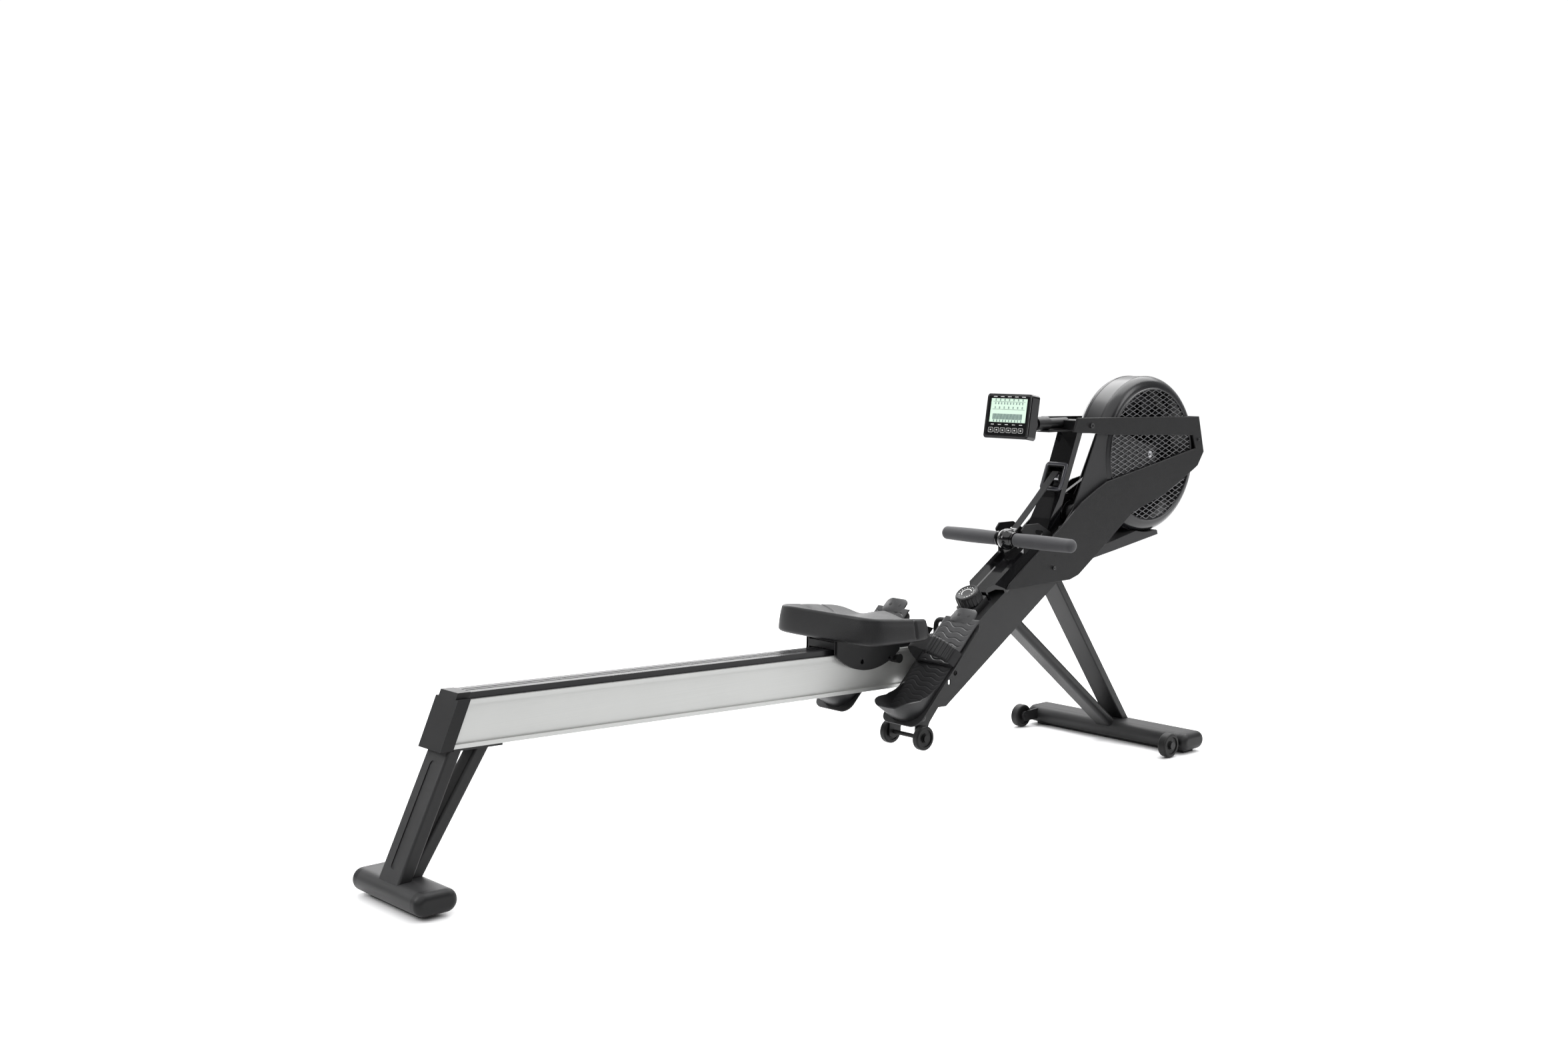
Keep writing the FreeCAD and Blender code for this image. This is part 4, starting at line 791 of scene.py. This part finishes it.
def knob_surface():
    """Ribbed dial: radius 31 mm with twenty scallops in its wall, a rounded shoulder and a shallow dished top."""
    around = np.linspace(0, 2 * np.pi, 360, endpoint=False)
    scallop = 0.0016 * np.maximum(0.0, np.cos(20 * around)) ** 0.5
    rows = []
    for radius, level, share in ((0.004, 0.0200, 0), (0.0285, 0.0200, 0.4), (0.0300, 0.0212, 1),
                                 (0.0310, 0.0240, 1), (0.0310, 0.0330, 1), (0.0308, 0.0400, 1),
                                 (0.0303, 0.0432, 0.8), (0.0292, 0.0462, 0.25), (0.0275, 0.0484, 0),
                                 (0.0250, 0.0496, 0), (0.0235, 0.0492, 0), (0.0225, 0.0484, 0),
                                 (0.0100, 0.0484, 0), (0.0004, 0.0484, 0)):
        r = radius - scallop * share
        rows.append(beam(KNOB_S + r * np.cos(around), r * np.sin(around), 0.098 + level))
    return np.stack(rows)


knob = Shape().grid(knob_surface(), wrap_columns=True, flip=True, ends=True)
add_piece("knob_dial", knob, BLACK_PLASTIC, "knob", ("resistance_knob",), smooth=40)


def arc_patch(shape, radius, width, start, end, level, steps=28):
    """Part of a flat ring printed on the knob's top."""
    turn = np.linspace(start, end, steps)
    rows = []
    for r, lift in ((radius - width / 2, 0.0), (radius - width / 2, 0.0002), (radius + width / 2, 0.0002),
                    (radius + width / 2, 0.0)):
        rows.append(beam(KNOB_S + r * np.cos(turn), r * np.sin(turn), level + lift))
    shape.grid(np.stack(rows, 1), wrap_columns=True, flip=False, ends=True)


scale = Shape()
TOP_LEVEL = 0.098 + 0.0484
arc_patch(scale, 0.0120, 0.0018, math.radians(-60), math.radians(150), TOP_LEVEL)
for mark in range(15):
    turn = math.radians(-160 + mark * 21)
    arc_patch(scale, 0.0185, 0.0016 + 0.0016 * (mark % 2), turn - 0.05, turn + 0.05, TOP_LEVEL, 3)
add_piece("knob_scale", scale, PRINT, "knob", (), smooth=30)


# ------------------------------------------------------------------ footrests

def waves(s, y, pitch):
    """Wavy moulded grooves across the footbed: 0 on the land, 1 in a groove."""
    phase = s + 0.006 * np.sin(y * 60.0) + 0.004 * np.sin(y * 131.0 + 1.0)
    return np.exp(-((((phase / pitch) % 1.0) - 0.5) / 0.07) ** 2)


def toe_surface(side):
    """Toe plate: a slab 3 mm thick with moulded waves in its upper face, as a closed grid."""
    s = np.linspace(0.165, 0.296, 140)
    y = np.linspace(0.0575, 0.1595, 90)
    ss, yy = np.meshgrid(s, y, indexing="ij")
    edge = np.minimum.reduce([ss - s[0], s[-1] - ss, yy - y[0], y[-1] - yy])
    crown = 0.0090 - 0.0016 * np.exp(-edge / 0.0012)
    top = crown - 0.0011 * waves(ss, yy, 0.0155) * eased(edge, 0.004, 0.008)
    upper = foot(ss, side * yy, top)
    lower = foot(ss, side * yy, 0.0052 + 0 * ss)
    return upper, lower


def closed_slab(shape, upper, lower, flip):
    """Two matching grids joined round their border."""
    shape.grid(upper, flip=flip)
    shape.grid(lower, flip=not flip)
    for take in (lambda g: g[0], lambda g: g[-1][::-1], lambda g: g[:, 0][::-1], lambda g: g[:, -1]):
        shape.grid(np.stack([take(upper), take(lower)]), flip=not flip)


toes = Shape()
for side in (-1, 1):
    upper, lower = toe_surface(side)
    closed_slab(toes, upper, lower, side < 0)
    tab = rounded_box_outline(0.0215, 0.0330, 0.0150, 10)
    rows = []
    for inset, level in ((0.0, 0.0052), (0.0, 0.0082), (0.0012, 0.0090)):
        outline = tab * (1 - inset / 0.03)
        rows.append(foot(0.3005 + outline[:, 0], side * (FOOT_Y + outline[:, 1]), np.full(len(outline), level)))
    toes.grid(np.stack(rows), wrap_columns=True, flip=side > 0, ends=True)
add_piece("toe_beds", toes, CUP_PLASTIC, "frame", ("toe_plates",), smooth=40)
holes = Shape()
for side in (-1, 1):
    for place in (0.094, 0.123):
        turn = np.linspace(0, 2 * np.pi, 24, endpoint=False)
        rows = [foot(0.303 + r * np.cos(turn), side * (place + r * np.sin(turn)), np.full(24, level)) for r,
                level in ((0.0046, 0.0088), (0.0046, 0.0092), (0.0040, 0.0093))]
        holes.grid(np.stack(rows), wrap_columns=True, flip=side > 0, ends=True)
add_piece("toe_holes", holes, RUBBER, "frame", (), smooth=40)


def cup_surface():
    """Heel cup: a U-shaped wall that leans out as it rises, highest at the heel and waved along its rim, closed with
    the same thickness all round. Rows go up the wall, columns go round the heel."""
    half = 0.0505
    turn = np.linspace(-np.pi / 2, np.pi / 2, 80)
    heel_s = 0.0560 - 0.0480 * np.cos(turn) ** 0.9
    heel_y = half * np.sign(np.sin(turn)) * np.abs(np.sin(turn)) ** 0.8
    straight = np.linspace(0.1200, 0.0600, 40)
    s = np.concatenate([straight, heel_s, straight[::-1]])
    y = np.concatenate([np.full(40, -half), heel_y, np.full(40, half)])
    rim = 0.0455 * eased(-s, -0.100, -0.012) + 0.0075 * eased(-s, -0.117, -0.095)
    rim = rim + 0.004 * np.sin(s * 75.0) * eased(-s, -0.115, -0.05)
    return s, y, np.maximum(rim, 0.0035)


def cup_shape(side):
    shape = Shape()
    s, y, rim = cup_surface()
    levels = np.linspace(0, 1, 14)
    rows = []
    for share in levels:
        lean = 1.0 + 0.10 * share * (rim / 0.05)
        height = 0.0008 + rim * share
        out_s = 0.060 + (s - 0.060) * np.where(s < 0.060, lean, 1.0) - 0.004 * share * (s < 0.06)
        rows.append((np.maximum(out_s, 0.0022), y * np.minimum(lean, 1.09), height))
    outer = [foot(a, side * (FOOT_Y + b), c) for a, b, c in rows]
    inner = [foot(0.062 + (a - 0.062) * 0.945, side * (FOOT_Y + b * 0.945), np.maximum(c, 0.0045)) for a, b,
             c in rows]
    wall = outer + inner[::-1]
    shape.grid(np.stack(wall), wrap_rows=True, flip=side < 0)
    return shape


def bed_shape(shape, side):
    """Footbed of the heel cup, with fine waves."""
    s = np.linspace(0.009, 0.189, 150)
    y = np.linspace(-1, 1, 70)
    ss, yy = np.meshgrid(s, y, indexing="ij")
    width = np.where(ss < 0.056, 0.049 * np.sqrt(np.clip(1 - ((0.056 - ss) / 0.0475) ** 2, 0.05, 1)), 0.0515)
    across = FOOT_Y + yy * width
    top = 0.0042 - 0.0007 * waves(ss, across, 0.0125) * eased(ss, 0.02, 0.05)
    closed_slab(shape, foot(ss, side * across, top), foot(ss, side * across, 0.0006 + 0 * ss), side < 0)


for side_name, side in (("left", 1), ("right", -1)):
    cup = cup_shape(side)
    bed_shape(cup, side)
    add_piece("heel_rest_" + side_name, cup, CUP_PLASTIC, "heel_" + side_name,
              ("heel_cup_" + side_name,), smooth=50)


def strap_line():
    """Line of the foot strap over the instep, as (y, t) points, resampled evenly."""
    points = [(0.0542, 0.004), (0.0545, 0.030), (0.0580, 0.0500), (0.0690, 0.0590), (0.0850, 0.0588),
              (0.1080, 0.0505), (0.1370, 0.0370), (0.1585, 0.0190), (0.1655, 0.0040)]
    return smooth_path(points, 90)


strap_points, strap_length = strap_line()
for side_name, side in (("left", 1), ("right", -1)):
    sag = 0.0012 * np.sin(np.linspace(0, np.pi, 90))
    centre = foot(np.full(90, 0.184) + sag, side * strap_points[:, 0], strap_points[:, 1])
    tangent = np.gradient(centre, axis=0)
    tangent /= np.linalg.norm(tangent, axis=1, keepdims=True)
    wide = np.tile(foot(1.0, 0.0, 0.0) - foot(0.0, 0.0, 0.0), (90, 1))
    normal = np.cross(tangent, wide)
    data = band_mesh("foot_strap_" + side_name, centre, normal, wide * side, 0.0188, 0.0020)
    strap = add_piece("foot_strap_" + side_name, data, WEBBING, "frame",
                      ("foot_straps",) if side > 0 else (), smooth=60)


def buckle_shape(side):
    """Ribbed clamp buckle on the outer slope of the strap: a curved plate whose outer face carries seven ribs, with
    a raised rounded collar at its upper end."""
    shape = Shape()
    path, _ = smooth_path([(0.110, 0.0512), (0.1225, 0.0462), (0.1375, 0.0388), (0.1500, 0.0292),
                           (0.1575, 0.0225)], 120)
    run = np.linspace(0, 1, 120)
    direction = np.gradient(path, axis=0)
    direction /= np.linalg.norm(direction, axis=1, keepdims=True)
    out = np.stack([-direction[:, 1], direction[:, 0]], -1)
    out *= np.sign(out[:, 1:2])
    ribs = 0.0014 * np.clip(np.sin(run * 2 * np.pi * 6.5) * 3, 0,
                            1) * eased(run, 0.12, 0.2) * eased(-run, -0.97, -0.9)
    collar = 0.0022 * eased(-run, -0.14, -0.08)
    rise = 0.0042 + ribs + collar
    half = 0.0235 - 0.004 * eased(run, 0.2, 1.0)
    width = np.linspace(-1, 1, 22)
    rr, ww = np.meshgrid(np.arange(120), width, indexing="ij")
    round_off = 0.0022 * np.clip((np.abs(ww) - 0.8) / 0.2, 0, 1) ** 2
    height = rise[rr] - round_off
    upper = foot(0.184 + ww * half[rr], side * (path[rr, 0] + out[rr, 0] * height),
                 path[rr, 1] + out[rr, 1] * height)
    low = 0.0011
    lower = foot(0.184 + ww * half[rr], side * (path[rr, 0] + out[rr, 0] * low), path[rr, 1] + out[rr, 1] * low)
    closed_slab(shape, upper, lower, side > 0)
    return shape


for side_name, side in (("left", 1), ("right", -1)):
    add_piece("strap_buckle_" + side_name, buckle_shape(side), BLACK_PLASTIC, "frame", (),
              smooth=35)


# ------------------------------------------------------------------ floor and light

floor_data = bpy.data.meshes.new("floor")
floor_data.from_pydata([(-30, -30, 0), (30, -30, 0), (30, 30, 0), (-30, 30, 0)], [], [(0, 1, 2, 3)])
floor = bpy.data.objects.new("floor", floor_data)
bpy.context.scene.collection.objects.link(floor)
floor_material = bpy.data.materials.new("studio_floor")
floor_material.use_nodes = True
floor_shader = floor_material.node_tree.nodes["Principled BSDF"]
floor_shader.inputs["Base Color"].default_value = (0.92, 0.92, 0.925, 1)
floor_shader.inputs["Roughness"].default_value = 0.55
floor_shader.inputs["Specular IOR Level"].default_value = 0.25
floor_data.materials.append(floor_material)

bpy.context.scene.view_settings.view_transform = "Standard"
# The backdrop is seen white but lights the object less than the sky lamp above it
world = bpy.data.worlds.new("studio")
world.use_nodes = True
backdrop = world.node_tree.nodes["Background"]
backdrop.inputs["Color"].default_value = (1.0, 1.0, 1.0, 1)
seen = world.node_tree.nodes.new("ShaderNodeLightPath").outputs["Is Camera Ray"]
toward = world.node_tree.nodes.new("ShaderNodeVectorMath")
toward.operation = "DOT_PRODUCT"
toward.inputs[1].default_value = (0.668, 0.744, 0.0)
world.node_tree.links.new(world.node_tree.nodes.new("ShaderNodeTexCoord").outputs["Generated"],
                          toward.inputs[0])
behind = math_node(world.node_tree, "POWER",
                   math_node(world.node_tree, "MAXIMUM", toward.outputs["Value"], 0.0), 1.5)
lighting = math_node(world.node_tree, "ADD", math_node(world.node_tree, "MULTIPLY", behind, 0.95), 0.14)
unseen = math_node(world.node_tree, "SUBTRACT", 1.0, seen)
strength = math_node(world.node_tree, "ADD", math_node(world.node_tree, "MULTIPLY", lighting, unseen),
                     math_node(world.node_tree, "MULTIPLY", seen, 1.04))
world.node_tree.links.new(strength, backdrop.inputs["Strength"])
bpy.context.scene.world = world

sky_data = bpy.data.lights.new("sky", "SUN")
sky_data.energy = 3.0
sky_data.angle = math.radians(100)
sky = bpy.data.objects.new("sky", sky_data)
sky.rotation_euler = (math.radians(10), math.radians(-12), 0)
bpy.context.scene.collection.objects.link(sky)


def softbox(name, place, aim, size, power):
    """Large square lamp."""
    lamp = bpy.data.lights.new(name, "AREA")
    lamp.shape = "RECTANGLE"
    lamp.size, lamp.size_y = size
    lamp.energy = power
    holder = bpy.data.objects.new(name, lamp)
    holder.location = place
    holder.rotation_euler = (Vector(aim) - Vector(place)).to_track_quat("-Z", "Y").to_euler()
    bpy.context.scene.collection.objects.link(holder)


softbox("overhead", (1.9, 0.5, 3.0), (0.8, 0, 0.6), (3.6, 3.0), 140)
softbox("left_front", (-3.2, 1.6, 2.2), (0.4, 0, 0.6), (1.2, 1.6), 55)
softbox("right_rear", (2.6, -2.6, 2.2), (0.8, 0, 0.6), (1.0, 1.6), 30)
softbox("behind", (1.2, 3.4, 1.9), (0.4, 0, 0.6), (3.0, 1.0), 40)
